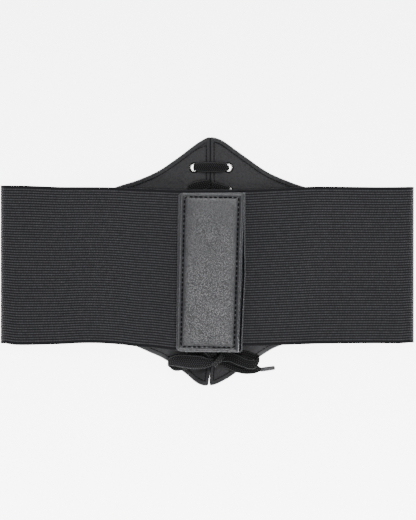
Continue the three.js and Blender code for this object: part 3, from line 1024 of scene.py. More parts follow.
@dataclass
class FrontPanel:
    """One half of the pointed leather panel, with its hem, centre strip and seams.

    Each row of curl lifts the lower tip: a height, and the distances from the tip at which the
    lift starts and is full.
    """

    side: Side
    half_width: float = 80.0
    peak: float = 100.0
    lace_gap: float = 1.2
    notch: tuple[tuple[float, float], ...] = (
        (-100.5, 1.6), (-99.0, 1.45), (-95.7, 1.0), (-92.0, 0.5), (-88.0, 0.12), (-85.0, -0.08),
    )
    hem: float = 4.3
    top_hem: float = 0.0
    seam_in: float = 3.7
    centre_seam_in: float = 3.2
    hole: float = 3.0
    tip_radius: float = 1.5
    pass_above: float = 5.45
    last_pass: float = -81.2
    curl: tuple[tuple[float, float, float], ...] = ((3.8, 16.0, 3.5), (-1.1, 4.5, 0.3))
    stitch: Thread = Thread(2.5, 2.2, 0.56, 0.36)
    upper: tuple[tuple[float, float], ...] = ()
    lower: tuple[tuple[float, float], ...] = ()

    def edge(self, across: Array, upper: bool) -> Array:
        """Upper or lower edge's height across from the middle: a spline through its table."""
        rows = np.array(self.upper if upper else self.lower, float)
        return read_table(spline(rows, np.linspace(0, len(rows) - 1, 400)), across)

    def underside(self, x: Array, y: Array) -> Array:
        """Height of the sheet's lower face: level at the eyelets, on the surface at the seams, and
        curled up towards the lower tip.

        Args:
            x: places along X.
            y: places along Y.

        Returns:
            Heights in mm.
        """
        across = np.abs(x - PLAN.middle)
        lift = LEVEL.panel_lift * (1 - ease(across, 19.85, 66.0))
        swell = 0.35 * ripple(x, y, 5, 60.0) * ease(np.abs(y), 62, 95) * ease(across, 4, 20)
        near = np.hypot(x - PLAN.split - self.side.value * 1.5, y + self.peak)
        curl = sum(high * ease(-near, -start, -full) for high, start, full in self.curl)
        return lift + swell + curl

    def rows_of(self, x: Array) -> tuple[Array, Array]:
        """Edges of the sheet at stations across it, with the tips' corners rounded off.

        Args:
            x: stations, in mm.

        Returns:
            Heights of the lower and the upper edge.
        """
        inner = np.abs(x - PLAN.split)
        across = np.abs(x - PLAN.middle)
        radius = self.tip_radius
        corner = radius - np.sqrt(np.maximum(radius**2 - np.clip(radius - inner, 0, radius) ** 2, 0))
        return self.edge(across, False) + corner, self.edge(across, True) - 0.4 * corner

    def relief(self, edge: Array, middle: Array, x: Array, y: Array) -> Array:
        """Height of the inner face over a plain sheet: the turned hem stands up with a rolled rim,
        the seams press it in, and the field between swells a little.

        Args:
            edge: distance to the upper or lower edge.
            middle: distance to the split's edge.
            x: places along X.
            y: places along Y.

        Returns:
            Heights in mm.
        """
        near = np.minimum(edge, middle * self.seam_in / self.centre_seam_in)
        hem = 0.45 * (1 - ease(near, self.hem - 0.5, self.hem + 0.4))
        rim = 0.25 * bell(near, 1.2, 0.8) - 1.0 * (1 - ease(near, -0.2, 0.7))
        groove = -0.45 * bell(near, self.seam_in, 0.3)
        field = 0.25 * ease(near, self.hem, 14.0) + 0.07 * ripple(x, y, 11, 17.0)
        return hem + rim + groove + field

    def seams(self) -> list[Array]:
        """Lines of the hem's seam, parallel to the edges, and of the centre seam.

        Returns:
            Lines in plan, which meet near the two tips.
        """
        s = self.side.value
        inner = PLAN.split + s * self.centre_seam_in
        x = np.linspace(inner, PLAN.middle + s * (self.half_width - 2), 240)
        lines = []
        for upper in (True, False):
            y = self.edge(np.abs(x - PLAN.middle), upper)
            slope = np.gradient(y, x)
            wider = self.top_hem * upper * (1 - ease(np.abs(x - PLAN.middle), 3, 16))
            y = y - (1 if upper else -1) * self.seam_in * np.sqrt(1 + slope**2) - wider
            lines.append(np.stack([x, y], 1))
        ends = [lines[1][0, 1], lines[0][0, 1]]
        y = np.linspace(ends[0], ends[1], 300)
        lines.append(np.stack([inner + s * self.opening(y), y], 1))
        return lines

    def opening(self, y: Array) -> Array:
        """How far the split's edge stands back from its closed place.

        It parts in a lens round the lace at each pair, and below the last one it follows the
        notch's table down to the tip.

        Args:
            y: heights in mm.

        Returns:
            Distances in mm, negative where the edge reaches past its closed place.
        """
        first = PLAN.first - PLAN.pitch + self.pass_above
        from_lace = np.abs((y - first + PLAN.pitch / 2) % PLAN.pitch - PLAN.pitch / 2)
        from_last = np.abs(y - self.last_pass) - 0.6
        near = np.where(y < -76.5, from_last, np.where(y < first + 8, from_lace, 9.0))
        return self.lace_gap / 2 * (1 - ease(near, 2.4, 3.6)) + read_table(self.notch, y)

    def build(self, finish: bpy.types.Material, thread: bpy.types.Material) -> bpy.types.Object:
        """Sheet with both faces, holes for the eyelets, and its stitches.

        Args:
            finish: the leather's material.
            thread: the thread's material.

        Returns:
            The sheet.
        """
        s = self.side.value
        outer = PLAN.middle + s * self.half_width
        cross = np.concatenate([SPLIT_LINES, np.linspace(8.5, abs(outer - PLAN.split), 44)])
        x0 = PLAN.split + s * cross
        low, high = self.rows_of(x0)
        slopes = (np.gradient(self.edge(np.abs(x0 - PLAN.middle), upper), x0) for upper in (False, True))
        slant_low, slant_high = (np.sqrt(1 + slope**2)[:, None] for slope in slopes)
        from_low = low[:, None] + EDGE_LINES[None] * slant_low
        from_high = high[:, None] - EDGE_LINES[None, ::-1] * slant_high
        middle = np.linspace(0, 1, 66)[None, 1:-1]
        between = from_low[:, -1:] + (from_high[:, :1] - from_low[:, -1:]) * middle
        y = np.concatenate([from_low, between, from_high], axis=1)
        to_edge = np.minimum((y - low[:, None]) / slant_low, (high[:, None] - y) / slant_high)
        x = x0[:, None] + s * self.opening(y) * (1 - ease(cross, 0, 30))[:, None]
        to_split = np.broadcast_to(cross[:, None], x.shape)
        under = self.underside(x, y)
        rounding = 0.5 * (1 - ease(np.minimum(to_edge, to_split), -0.4, 0.5))
        front = under + rounding
        back = under + LEVEL.panel_wall + self.relief(to_edge, to_split, x, y)
        rings = both_faces(layers(x, y, back), layers(x, y, front))
        piece = skin(f"panel_sheet_{self.side.word}", rings, sharp=1.0)
        self.pierce(piece)
        place(piece, finish, "panel_leather", f"panel_{self.side.word}")
        for word, line in zip(("upper", "lower", "centre"), self.seams()):
            sewn = self.stitch.sew(
                f"panel_seam_{word}_{self.side.word}",
                line,
                lambda px, py: self.underside(px, py) + LEVEL.panel_wall + 0.24,
            )
            place(sewn, thread, "panel_leather")
        return piece

    def pierce(self, piece: bpy.types.Object) -> None:
        """Cuts the eyelets' holes through the sheet.

        Args:
            piece: the sheet, which keeps its name and place.
        """
        angle = np.arange(24) * TURN / 24
        ring = self.hole * np.stack([np.cos(angle), np.sin(angle)], 1)
        number = np.arange(24)
        walls = np.stack([number, np.roll(number, -1), np.roll(number, -1) + 24, number + 24], 1).tolist()
        places, faces = [], []
        for row in range(PLAN.pairs):
            flat = ring + PLAN.eyelet(self.side.value, row)
            start = 48 * row
            places += [np.c_[flat, np.full(24, z)] for z in (-3.0, 12.0)]
            faces += [[a + start for a in wall] for wall in walls]
            faces += [(number[::-1] + start).tolist(), (number + 24 + start).tolist()]
        punch = make_object("punch", np.concatenate(places), faces)
        cut = piece.modifiers.new("holes", "BOOLEAN")
        cut.operation, cut.object, cut.solver = "DIFFERENCE", punch, "EXACT"
        shown = piece.evaluated_get(bpy.context.evaluated_depsgraph_get())
        cut_mesh = bpy.data.meshes.new_from_object(shown)
        piece.modifiers.clear()
        old, piece.data = piece.data, cut_mesh
        name = old.name
        bpy.data.meshes.remove(old)
        piece.data.name = name
        bpy.data.objects.remove(punch)


@dataclass
class Eyelets:
    """Rolled metal eyelets, two columns of them, each with a thin dark ring of painted shade under its flange."""

    bore: float = 2.35
    barrel: float = 2.85
    flange: float = 3.42
    top: float = 5.2
    bottom: float = 1.85
    # outer radius of the dark ring of painted shade round each eyelet
    washer: float = 4.3

    def profile(self) -> Array:
        """Section of an eyelet: a barrel whose two ends roll out and down into domed flanges.

        Returns:
            Closed loop of radius and height.
        """
        t = np.linspace(0, 1, 12)
        out = (self.flange - self.bore) * t
        over = self.top - 0.45 + 0.5 * np.sin(np.pi * np.clip(0.12 + 0.88 * t, 0, 1)) ** 0.7 + 0.22 * (1 - t)
        below = self.bottom + 0.5 - 0.5 * np.sin(np.pi * (0.05 + 0.8 * t)) ** 0.7
        dome = np.stack([self.bore + out, over], 1)
        under = np.array([[self.flange - 0.12, self.top - 0.56], [self.barrel, self.top - 0.52]])
        lower = np.array([[self.barrel, self.bottom + 0.52], [self.flange - 0.12, self.bottom + 0.56]])
        foot = np.stack([self.flange - out, below], 1)
        return np.concatenate([dome, under, lower, foot])

    def build(self, finish: bpy.types.Material, dark: bpy.types.Material) -> None:
        """One turned ring for each eyelet, and a thin dark ring under its flange: painted shade.

        Args:
            finish: the metal's material.
            dark: the dark rings' material.
        """
        profile = self.profile()
        t = (np.arange(10) + 0.5) * TURN / 10
        middle = (self.washer + self.barrel) / 2
        ring = np.stack([middle + (self.washer - middle) * np.cos(t), self.top - 0.36 + 0.14 * np.sin(t)], 1)
        for row in range(PLAN.pairs):
            for side in Side:
                name = f"{side.word}_{row + 1}"
                centre = PLAN.eyelet(side.value, row)
                piece = turned(f"rolled_eyelet_{name}", profile, centre)
                place(piece, finish, "eyelet", f"eyelet_{name}")
                # thin dark ring under the flange: painted shade round the eyelet
                place(turned(f"washer_{name}", ring, centre, 32), dark, "eyelet")


@dataclass
class FoldedEnd:
    """Leather folded round the end of the elastic: two leaves and the fold that joins them."""

    name: str
    node: str
    level: float
    opens: Side
    open_edge: tuple[tuple[float, float], ...]
    fold_edge: tuple[tuple[float, float], ...]
    corner: float
    low: float = -72.8
    high: float = 54.4
    seam: tuple[tuple[float, float], ...] = ()
    skew: tuple[float, float] = (0.0, 0.0)
    puff: float = 0.5
    lip: float = 0.0
    lift: float = 0.0
    lift_centre: float = -46.0
    lift_reach: float = 100.0
    seam_radii: tuple[float, float] = (3.2, 1.6)
    step: float = 0.5
    stitch: Thread = Thread(3.9, 2.9, 0.9, 0.65)

    def limits(self, y: Array) -> tuple[Array, Array]:
        """Where the leaves start and end across, at heights y, with the open corners rounded.

        Args:
            y: heights in mm.

        Returns:
            The open edge's and the fold's places along X.
        """
        inset = np.clip(self.corner - np.minimum(y - self.low, self.high - y), 0, self.corner)
        cut = self.corner - np.sqrt(np.maximum(self.corner**2 - inset**2, 0))
        return read_table(self.open_edge, y) - self.opens.value * cut, read_table(self.fold_edge, y)

    def inside(self, x: Array, y: Array) -> tuple[Array, Array]:
        """Distance inside the seam's four-sided line, negative outside.

        Args:
            x: places along X.
            y: places along Y.

        Returns:
            The least distance over the four sides, and a soft one that has no creases: minus the
            logarithm of the sum of e to the minus distance.
        """
        corners = np.array(self.seam)
        way = unit(np.roll(corners, -1, axis=0) - corners)
        away = np.array([-(x - c[0]) * w[1] + (y - c[1]) * w[0] for c, w in zip(corners, way)])
        return away.min(0), -2.5 * np.log(np.exp(-np.clip(away, -20, 60) / 2.5).sum(0))

    def relief(self, x: Array, y: Array) -> Array:
        """Height of the outer leaf over a plain one: rounded rims, a groove along the seam, and a
        crown in the field.

        Args:
            x: places along X.
            y: places along Y.

        Returns:
            Heights in mm.
        """
        start, end = self.limits(y)
        rim = np.minimum(np.minimum(np.abs(x - start), np.abs(end - x) + 0.6), np.minimum(y - self.low, self.high - y))
        rounded = -0.5 * (1 - ease(rim, -0.4, 0.7))
        if not self.seam:
            return rounded + 0.05 * ripple(x, y, 3, 25.0)
        depth, soft = self.inside(x, y)
        groove = -0.42 * bell(depth, 0, 0.5) - 0.12 * bell(depth, 0, 1.6)
        crown = self.puff * (1 - np.exp(-np.maximum(soft, 0) / 3.2)) + 0.42 * bell(-depth, 2.3, 1.1)
        swell = 0.16 * ripple(x, y, 21, 34.0) + 0.04 * ripple(x, y, 22, 10.0)
        return rounded + groove + crown + swell * ease(rim, 0, 5) + self.rise(y)

    def rise(self, y: Array) -> Array:
        """How far the whole upper leaf lifts: 1 less a square, with its top near the lower end."""
        return self.lift * (1 - ((y - self.lift_centre) / self.lift_reach) ** 2)

    def build(self, finish: bpy.types.Material, thread: bpy.types.Material) -> bpy.types.Object:
        """Folded leather as rings in the X-Z plane, one for each height, and its stitches.

        Along a ring, the outer path runs over the top leaf, round the fold and back under the
        bottom leaf; the inner path runs the same way one wall further in.

        Args:
            finish: the leather's material.
            thread: the thread's material.

        Returns:
            The folded leather.
        """
        ends = np.array([0, 0.1, 0.25, 0.45])
        inner_rows = np.linspace(self.low + 0.7, self.high - 0.7, round((self.high - self.low) / self.step))
        y = np.concatenate([self.low + ends, inner_rows, self.high - ends[::-1]])[:, None]
        start, end = self.limits(y)
        outer_r, wall = LEVEL.wrap / 2, LEVEL.leather
        inward = -self.opens.value
        bend = end - inward * outer_r
        rim = np.array([0, 0.1, 0.25, 0.45]) / 50
        share = np.concatenate([rim, np.linspace(0.014, 1, round(np.ptp([start.min(), end.max()]) / self.step))])[None]
        back = np.linspace(1, 0, 36)[None]
        turn = np.linspace(0, np.pi, 14)[None, 1:-1]
        top = self.level + LEVEL.wrap

        def path(inset: float) -> tuple[Array, Array]:
            """Outer path moved in towards the middle of the wall.

            Args:
                inset: how far it moves, in mm.

            Returns:
                Its places along X and Z, one row for each height.
            """
            radius = outer_r - inset
            upper, lower = (start + (bend - start) * part for part in (share, back))
            x = [upper, bend + inward * radius * np.sin(turn), lower]
            round_fold = self.level + outer_r + radius * np.cos(turn) + 0 * y
            z = [np.full(upper.shape, top - inset), round_fold, np.full(lower.shape, self.level + inset)]
            return np.concatenate(x, 1), np.concatenate(z, 1)

        xo, zo = path(0.0)
        xi, zi = path(wall)
        yy = np.broadcast_to(y, xo.shape)
        over = ease(zo, self.level + outer_r, top - 0.02)
        zo = zo + over * self.relief(xo, yy)
        zi = zi + ease(zi, self.level + outer_r, top - wall - 0.02) * self.rise(yy)
        under = 1 - ease(zo, self.level, self.level + 0.4)
        to_rim = np.minimum(np.minimum(np.abs(xo - start), yy - self.low), self.high - yy)
        zo = zo + under * 0.35 * (1 - ease(to_rim, -0.2, 0.6))
        zo, zi = (z + self.lip * (1 - ease(np.abs(x - start), 1.0, 2.4)) for x, z in ((xo, zo), (xi, zi)))
        tilt = np.interp(y, [self.low, self.high], self.skew) / (self.fold_edge[0][1] - self.open_edge[0][1])
        rings = both_faces(*(layers(x, y + tilt * (x - start), z) for x, z in ((xo, zo), (xi, zi))))
        piece = skin(self.name, rings, sharp=1.0)
        place(piece, finish, "closure_leather", self.node)
        if self.seam:
            sewn = self.stitch.sew(
                f"{self.name}_seam",
                self.seam_line(),
                lambda px, py: self.level + LEVEL.wrap + self.relief(px, py) + 0.24,
            )
            place(sewn, thread, "closure_leather")
        return piece

    def seam_line(self) -> Array:
        """Seam round the four corners, each rounded by a quadratic curve, wider on the left.

        Returns:
            (N, 2) closed line.
        """
        corners = np.array(self.seam)
        before, after = np.roll(corners, 1, 0), np.roll(corners, -1, 0)
        radius = np.where(corners[:, 0] < 0, *self.seam_radii)[:, None]
        into = corners + unit(before - corners) * radius
        away = corners + unit(after - corners) * radius
        t = np.linspace(0, 1, 9)[None, :, None]
        bends = (1 - t) ** 2 * into[:, None] + 2 * t * (1 - t) * corners[:, None] + t**2 * away[:, None]
        line = bends.reshape(-1, 2)
        return np.concatenate([line, line[:1]])


@dataclass
class GripTape:
    """Hook and loop strip between the two folded ends, with a fuzzy face."""

    width: float = 36.0
    length: float = 112.0
    wall: float = 1.5
    centre: tuple[float, float] = (2.35, -9.2)
    lean: float = -0.0305

    def build(self, finish: bpy.types.Material) -> None:
        """Strip with rounded rims and rows of short loops in its faces.

        Args:
            finish: the pile's material.
        """
        a = np.linspace(-self.width / 2, self.width / 2, 91)[None]
        b = np.linspace(-self.length / 2, self.length / 2, 225)[:, None]
        rim = np.minimum(self.width / 2 - np.abs(a), self.length / 2 - np.abs(b))
        pile = 0.1 * np.sin(TURN * a / 1.7) * np.sin(TURN * b / 1.9) * ease(rim, 0.5, 2)
        half = self.wall / 2 * np.sqrt(np.clip(1 - (1 - np.clip(rim / 0.6, 0.05, 1)) ** 2, 0, 1)) - 0.1
        x = self.centre[0] + a * np.cos(self.lean) - b * np.sin(self.lean)
        y = self.centre[1] + a * np.sin(self.lean) + b * np.cos(self.lean)
        mid = LEVEL.tape + self.wall / 2
        thick = np.maximum(half + pile, 0.05)
        rings = both_faces(layers(x, y, mid + thick), layers(x, y, mid - thick))
        place(skin("grip_tape", rings), finish, "tape", "hook_and_loop")


@dataclass
class Ribbon:
    """A flat tubular lace in mm, with ridges along it and a crease where it has lain folded."""

    ridges: int = 8
    ridge: float = 0.1
    bead: float = 0.0
    samples: int = 30

    def rings(
        self, rows: Array, level: bool = False, face: int = 0, crease: float = 0.25, crease_at: float = -0.25
    ) -> tuple[Array, Array]:
        """Rings of a lace along a route.

        Across, from -1 to 1, its half wall is the root of 1 less the fourth power, with cosine
        ridges and a bead near each edge on it. The cup lifts its middle by 1 less the square, and
        the pleat adds three waves.

        Args:
            rows: (N, 7) x, y, z, width, wall, cup and pleat at each station.
            level: True where the width stays level and square to the run, False where it is kept
                towards +Y.
            face: which side of the wall is shown and has the crease, 1 or -1, or 0 for the upper.
            crease: depth of the crease.
            crease_at: where it lies across.

        Returns:
            Rings and their UV values.
        """
        route, (width, wall, cup, pleat) = rows[:, :3], rows[:, 3:].T[:, :, None]
        way = unit(np.gradient(route, axis=0))
        if level:
            across = unit(np.stack([-way[:, 1], way[:, 0], 0 * way[:, 0]], 1))
        else:
            up = np.array([0.0, 1.0, 0.0])
            across = unit(up - way * (way @ up)[:, None])
        normal = np.cross(way, across)
        shown = np.where(normal[:, 2:] < 0, -1, 1) if face == 0 else face
        v = -np.cos(np.pi * np.linspace(0.02, 0.98, self.samples))[None]
        ridge = self.ridge * (0.5 - 0.5 * np.cos(np.pi * self.ridges * (v + 1))) * (1 - v**6)
        mark = crease * bell(v, crease_at, 0.09) * np.clip((width - 5.5) / 3, 0, 1)
        thick = wall / 2 * np.sqrt(1 - v**4) + ridge + self.bead * bell(np.abs(v), 0.86, 0.1)
        lift = shown * cup * (1 - v**2) + pleat * np.cos(3 * np.pi * v + 0.6)
        reach = v * width / 2
        sides = (
            swept(route, across, normal, reach, lift + turn * (thick - mark * (shown == turn))) for turn in (1, -1)
        )
        uv = layers(length_along(route)[:, None], reach + UV_SHIFT, np.abs(v))
        return both_faces(*sides), both_faces(uv, uv)


@dataclass
class Lacing:
    """The lace through all the eyelets: down each, along the outer face to the split, up through
    it and along the inner face to the next pair."""

    outer: float = 1.1
    inner: float = 5.95
    middle: float = 3.5
    high_pass: float = 7.7
    low_pass: float = 3.2
    last: tuple[float, float] = (-2.4, -6.6)
    width: float = 9.0
    sink: float = 0.8
    arch_left: tuple[tuple[float, ...], ...] = (
        (1.6, 62.4, 6.5, 6.8), (-2.8, 61.3, 7.1, 8.8), (-8.4, 60.2, 7.2, 9.0), (-12.2, 59.0, 6.9, 8.2),
        (-14.4, 57.6, 6.3, 5.8), (-13.2, 56.6, 5.8, 4.6),
    )
    arch_right: tuple[tuple[float, ...], ...] = (
        (3.4, 60.0, 6.5, 6.8), (5.6, 59.7, 7.1, 8.4), (9.5, 58.7, 7.2, 8.5), (13.4, 57.6, 6.9, 7.8),
        (16.2, 57.2, 6.4, 6.6), (17.2, 56.7, 5.9, 4.6),
    )
    bar: tuple[tuple[float, ...], ...] = (
        (-10.3, 75.4, 5.9, 4.4), (-9.9, 75.5, 6.3, 5.9), (-8.9, 75.6, 6.6, 6.7), (-6.0, 75.65, 6.8, 7.8),
        (-2.0, 75.6, 6.9, 8.7), (3.0, 75.6, 6.9, 8.9), (8.0, 75.6, 6.9, 8.7), (11.6, 75.6, 6.8, 7.8),
        (14.2, 75.5, 6.6, 6.7), (15.4, 75.4, 6.3, 5.9), (16.2, 75.3, 5.9, 4.4),
    )

    def hole(self, at: Array) -> list[list[float]]:
        """Rows from the outer face up through the eyelet at a place, narrowest in its bore."""
        levels = (self.outer + 0.1, 3.6, 1.3), (self.middle, 3.5, 1.8), (self.inner - 0.1, 3.8, 1.3)
        return [[*at, z, width, wall, 0, 0] for z, width, wall in levels]

    def gap(self, y: float, width: float = 4.2) -> list[list[float]]:
        """Rows from the outer face up through the split at a height along Y."""
        levels = self.outer + 0.3, self.middle, self.inner - 0.3
        return [[PLAN.split, y, z, width, 0.8, 0, 0] for z in levels]

    def run(self, at: Array, pass_y: float, z: float) -> list[list[float]]:
        """Rows from an eyelet to the split on one face.

        Args:
            at: the eyelet's centre.
            pass_y: where the lace goes through the split.
            z: height of the run.

        Returns:
            Rows of the run.
        """
        shares = np.array([0.22, 0.45, 0.68, 0.88])
        widths = np.array([0.7, 0.98, 0.92, 0.6]) * self.width
        x = at[0] + (PLAN.split - at[0]) * shares
        y = at[1] + (pass_y - at[1]) * ease(shares, 0, 1)
        return [[a, b, z, w, 1.15, 0.0, 0] for a, b, w in zip(x, y, widths)]

    def strand(self, side: int) -> list[list[float]]:
        """Rows of one strand, from the bar at the first pair to its end under the knot.

        Args:
            side: the side on which it starts, -1 or 1.

        Returns:
            Rows of the strand.
        """
        rows: list[list[float]] = []
        for row in range(PLAN.pairs):
            last = row == PLAN.pairs - 1
            offset = (self.last if last else (self.high_pass, self.low_pass))[0 if side > 0 else 1]
            base = PLAN.eyelet(side, row)[1] if last else PLAN.eyelet(side, row + 1)[1]
            pass_y = base + offset
            rows += self.hole(PLAN.eyelet(side, row))[::-1]
            rows += self.run(PLAN.eyelet(side, row), pass_y, self.outer)
            rows += self.gap(pass_y, 4.0 if last else 4.2)
            side = -side
            if last:
                break
            arch = self.arch_left if side < 0 else self.arch_right
            sink = self.sink if row else 0.0
            rows += [[x, y - row * PLAN.pitch, z - sink, w, 1.3, 0.35, 0] for x, y, z, w in arch]
        return rows

    def build(self, finish: bpy.types.Material) -> None:
        """Both strands and the bar that joins them, as one lace.

        Args:
            finish: the lace's material.
        """
        bar = [[*knot, 1.3, 0.4, 0] for knot in self.bar]
        rows = np.array(self.strand(-1)[::-1] + bar + self.strand(1))
        t = np.linspace(0, len(rows) - 1, 5 * (len(rows) - 1) + 1)
        i = np.clip(np.floor(t).astype(int), 0, len(rows) - 2)
        f = (t - i)[:, None]
        straight = rows[i] * (1 - f) + rows[i + 1] * f
        smooth = spline(rows, t)
        fine = np.concatenate([0.5 * smooth[:, :3] + 0.5 * straight[:, :3], straight[:, 3:]], axis=1)
        rings, uv = Ribbon().rings(fine, crease=0.35, crease_at=-0.16)
        place(skin("laced_cord", rings, uv, sharp=1.6), finish, "lace", "lacing")


@dataclass
class Bow:
    """The bow on the inner face: a knot, two loops and two tails that end in aglets."""

    width: float = 9.0
    left_loop: tuple[tuple[float, ...], ...] = (
        (6.2, -80.2, 9.6, 4.2), (3.6, -80.9, 10.1, 5.6), (-1, -81.7, 10.7, 8.8), (-6, -81.2, 11.1, 11.0),
        (-13, -80.9, 11.2, 11.6), (-20.0, -80.1, 11.0, 11.0), (-25.2, -79.9, 10.4, 9.6), (-28.8, -80.7, 9.4, 7.6),
        (-30.7, -82.0, 8.1, 5.4), (-29.2, -82.6, 6.8, 6.6), (-25.6, -83.5, 6.1, 9.8), (-21, -83.0, 5.9, 10.2),
        (-14, -81.4, 6.4, 10.0), (-7, -80.4, 7.1, 8.5), (0, -80.2, 7.5, 6.5), (6.0, -80.2, 7.8, 4.4),
    )
    right_loop: tuple[tuple[float, ...], ...] = (
        (9.4, -79.0, 9.7, 4.6), (13, -77.6, 10.5, 6.8), (18, -77.0, 11.1, 8.2), (24, -79.2, 11.3, 8.2),
        (29, -81.5, 11.0, 7.2), (34, -82.9, 10.4, 7.8), (37.4, -82.9, 9.6, 7.4), (39.4, -81.4, 8.6, 5.0),
        (40.8, -79.2, 7.2, 3.8), (40.6, -77.8, 6.0, 4.2), (37.6, -77.0, 5.2, 5.2), (33, -75.4, 5.2, 5.2),
        (27, -74.4, 5.6, 4.8), (18, -75.6, 6.6, 5.0), (13, -77.8, 7.2, 4.8), (9.4, -79.2, 7.8, 4.4),
    )
    left_tail: tuple[tuple[float, ...], ...] = (
        (7.4, -80.0, 8.3, 5), (4.8, -76.8, 8.2, 6.6), (1.8, -72.6, 7.9, 8.2), (-2.6, -68.4, 7.6, 8.6),
        (-8, -65, 7.5, 8.6), (-15, -62.3, 7.3, 8.5), (-22, -60, 6.1, 8.4), (-30, -58, 4.9, 8.2),
        (-38, -56.8, 4.3, 7.4), (-45, -56.2, 3.95, 5), (-50, -56, 3.75, 1.9),
    )
    right_tail: tuple[tuple[float, ...], ...] = (
        (15.5, -61.8, 7.4, 7), (11.4, -66.4, 7.6, 8), (8.4, -72.4, 7.8, 7.4), (6.6, -77.6, 7.2, 5.4),
        (9.0, -81.4, 6.9, 4.6), (13.2, -81.9, 6.8, 5.6), (18, -83.8, 6.8, 6.8), (24, -86.0, 6.6, 7.2),
        (30, -87.1, 6.2, 7.6), (35.6, -87.1, 5.5, 7.4), (39.4, -87.0, 4.4, 6.4), (41.8, -87.2, 3.0, 4.4),
        (43.4, -87.5, 2.0, 2.6),
    )
    knot: tuple[float, float, float] = (9.0, -79.5, 10.2)
    knot_slant: tuple[float, float, float] = (0.66, 0.75, 0.0)
    wrap_reach: float = 5.2
    wrap_height: float = 2.7
    wrap_width: float = 4.3
    wrap_wall: float = 0.62
    core: tuple[float, float] = (3.6, 1.95)
    tip_radius: float = 1.85
    step: float = 0.7

    def strand(
        self,
        name: str,
        route: Array,
        rings: tuple[Array, Array],
        finish: bpy.types.Material,
        nodes: Sequence[str],
        **end: object,
    ) -> bpy.types.Object:
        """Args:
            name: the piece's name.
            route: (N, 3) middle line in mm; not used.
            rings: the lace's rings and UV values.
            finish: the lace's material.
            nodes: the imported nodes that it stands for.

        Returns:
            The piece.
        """
        piece = place(skin(name, *rings, sharp=1.6), finish, "lace", *nodes)
        return piece

    def loop(self, side: Side, finish: bpy.types.Material) -> bpy.types.Object:
        """Loop of the bow: gathered where it leaves the knot, full in its middle.

        Args:
            side: which loop.
            finish: the lace's material.

        Returns:
            The piece.
        """
        left = side is Side.LEFT
        route = run_through(self.left_loop if left else self.right_loop, self.step)
        share = share_along(route)
        gather = 1 - ease(np.minimum(share, 1 - share), 0.03, 0.24)
        cup = 0.6 * np.sin(np.pi * share) ** 2
        rows = np.column_stack([route, 1.25 + 0.5 * gather, cup, 0.3 * gather])
        rings = Ribbon(bead=0.28).rings(rows, face=-1 if left else 1, crease=0.35, crease_at=-0.62 if left else -0.3)
        nodes = (f"bow_loop_{side.word}", f"tail_{side.word}")
        return self.strand(f"loop_{side.word}", route[:, :3], rings, finish, nodes, far_end="object")

    def tail(self, side: Side, finish: bpy.types.Material, tip: bpy.types.Object) -> bpy.types.Object:
        """Tail of the lace, which closes up where it goes into its aglet.

        Args:
            side: which tail.
            finish: the lace's material.
            tip: its aglet; not used.

        Returns:
            The piece.
        """
        route = run_through(self.left_tail if side is Side.LEFT else self.right_tail, self.step)
        shut = ease(share_along(route), 0.86, 0.985)
        rows = np.column_stack([route, 1.15 + 0.6 * shut, 0.25 * (1 - shut), 0.1 * (1 - shut)])
        rings = Ribbon(bead=0.2).rings(rows, level=True, crease=0.3, crease_at=0.25)
        nodes = (f"bow_loop_{side.word}", f"tail_{side.word}")
        return self.strand(
            f"tail_strand_{side.word}", route[:, :3], rings, finish, nodes, far_end="fitting", with_pieces=[tip]
        )

    def aglet(self, side: Side, finish: bpy.types.Material) -> bpy.types.Object:
        """Moulded tip: a slim tube, pressed a little flat, with a crimp and a rounded end.

        Args:
            side: which tail's.
            finish: the plastic's material.

        Returns:
            The piece.
        """
        start, way = {
            Side.LEFT: ((-50.2, -56.0, 3.8), (-1, 0.02, -0.02)),
            Side.RIGHT: ((43.0, -87.55, 1.95), (1, 0.14, -0.01)),
        }[side]
        s = np.array([0, 0.05, 0.3, 0.8, 1.2, 1.6, 2.1, 3, 5, 7.5, 9.6, 10.6, 11.1, 11.45, 11.65, 11.78])
        radius = self.tip_radius - 0.14 * bell(s, 1.2, 0.35) - 0.1 * ease(s, 4, 11)
        radius = radius * np.sqrt(np.clip(1 - ease(s, 10.8, 12.0) ** 2, 0.02, 1)) * (0.9 + 0.1 * ease(s, 0, 0.3))
        route = np.array(start) + unit(np.array(way, float)) * s[:, None]
        piece = tube(f"moulded_aglet_{side.word}", route, radius, flat=0.93)
        return place(piece, finish, "aglet", f"aglet_{side.word}")

    def tie(self, finish: bpy.types.Material) -> None:
        """Knot: a lace wound once round the gathered ends, slantwise.

        The wrap follows an ellipse in an upright plane: half a width along the slant times the
        cosine, half a height times the sine.

        Args:
            finish: the lace's material.
        """
        slant, up = unit(np.array(self.knot_slant)), [0, 0, 1.0]
        angle = np.linspace(0, TURN, 72, endpoint=False)
        level = np.array(self.knot) + np.outer(np.cos(angle) * self.wrap_reach, slant)
        around = level + np.outer(np.sin(angle) * self.wrap_height, up)
        way = unit(np.roll(around, -1, 0) - np.roll(around, 1, 0))
        across = np.broadcast_to(np.cross(up, slant), way.shape)
        normal = np.cross(way, across)
        v = -np.cos(np.pi * np.linspace(0.02, 0.98, 24))[None]
        ridge = 0.1 * (0.5 - 0.5 * np.cos(np.pi * 5 * (v + 1))) * (1 - v**6)
        reach = v * (self.wrap_width + 0.4 * np.sin(angle * 2 + 0.6))[:, None] / 2
        lift = -0.5 * v**2 + 0.12 * np.cos(4 * v + 2 * angle[:, None])
        thick = self.wrap_wall * np.sqrt(1 - v**4) + ridge
        sides = (swept(around, across, normal, reach, lift + turn * thick) for turn in (1, -1))
        uv = layers((angle * 4.0)[:, None], reach + UV_SHIFT, 0.7 * np.abs(v))
        piece = skin("knot_wrap", both_faces(*sides), both_faces(uv, uv), sharp=1.6, around=True)
        place(piece, finish, "lace", "bow_knot")

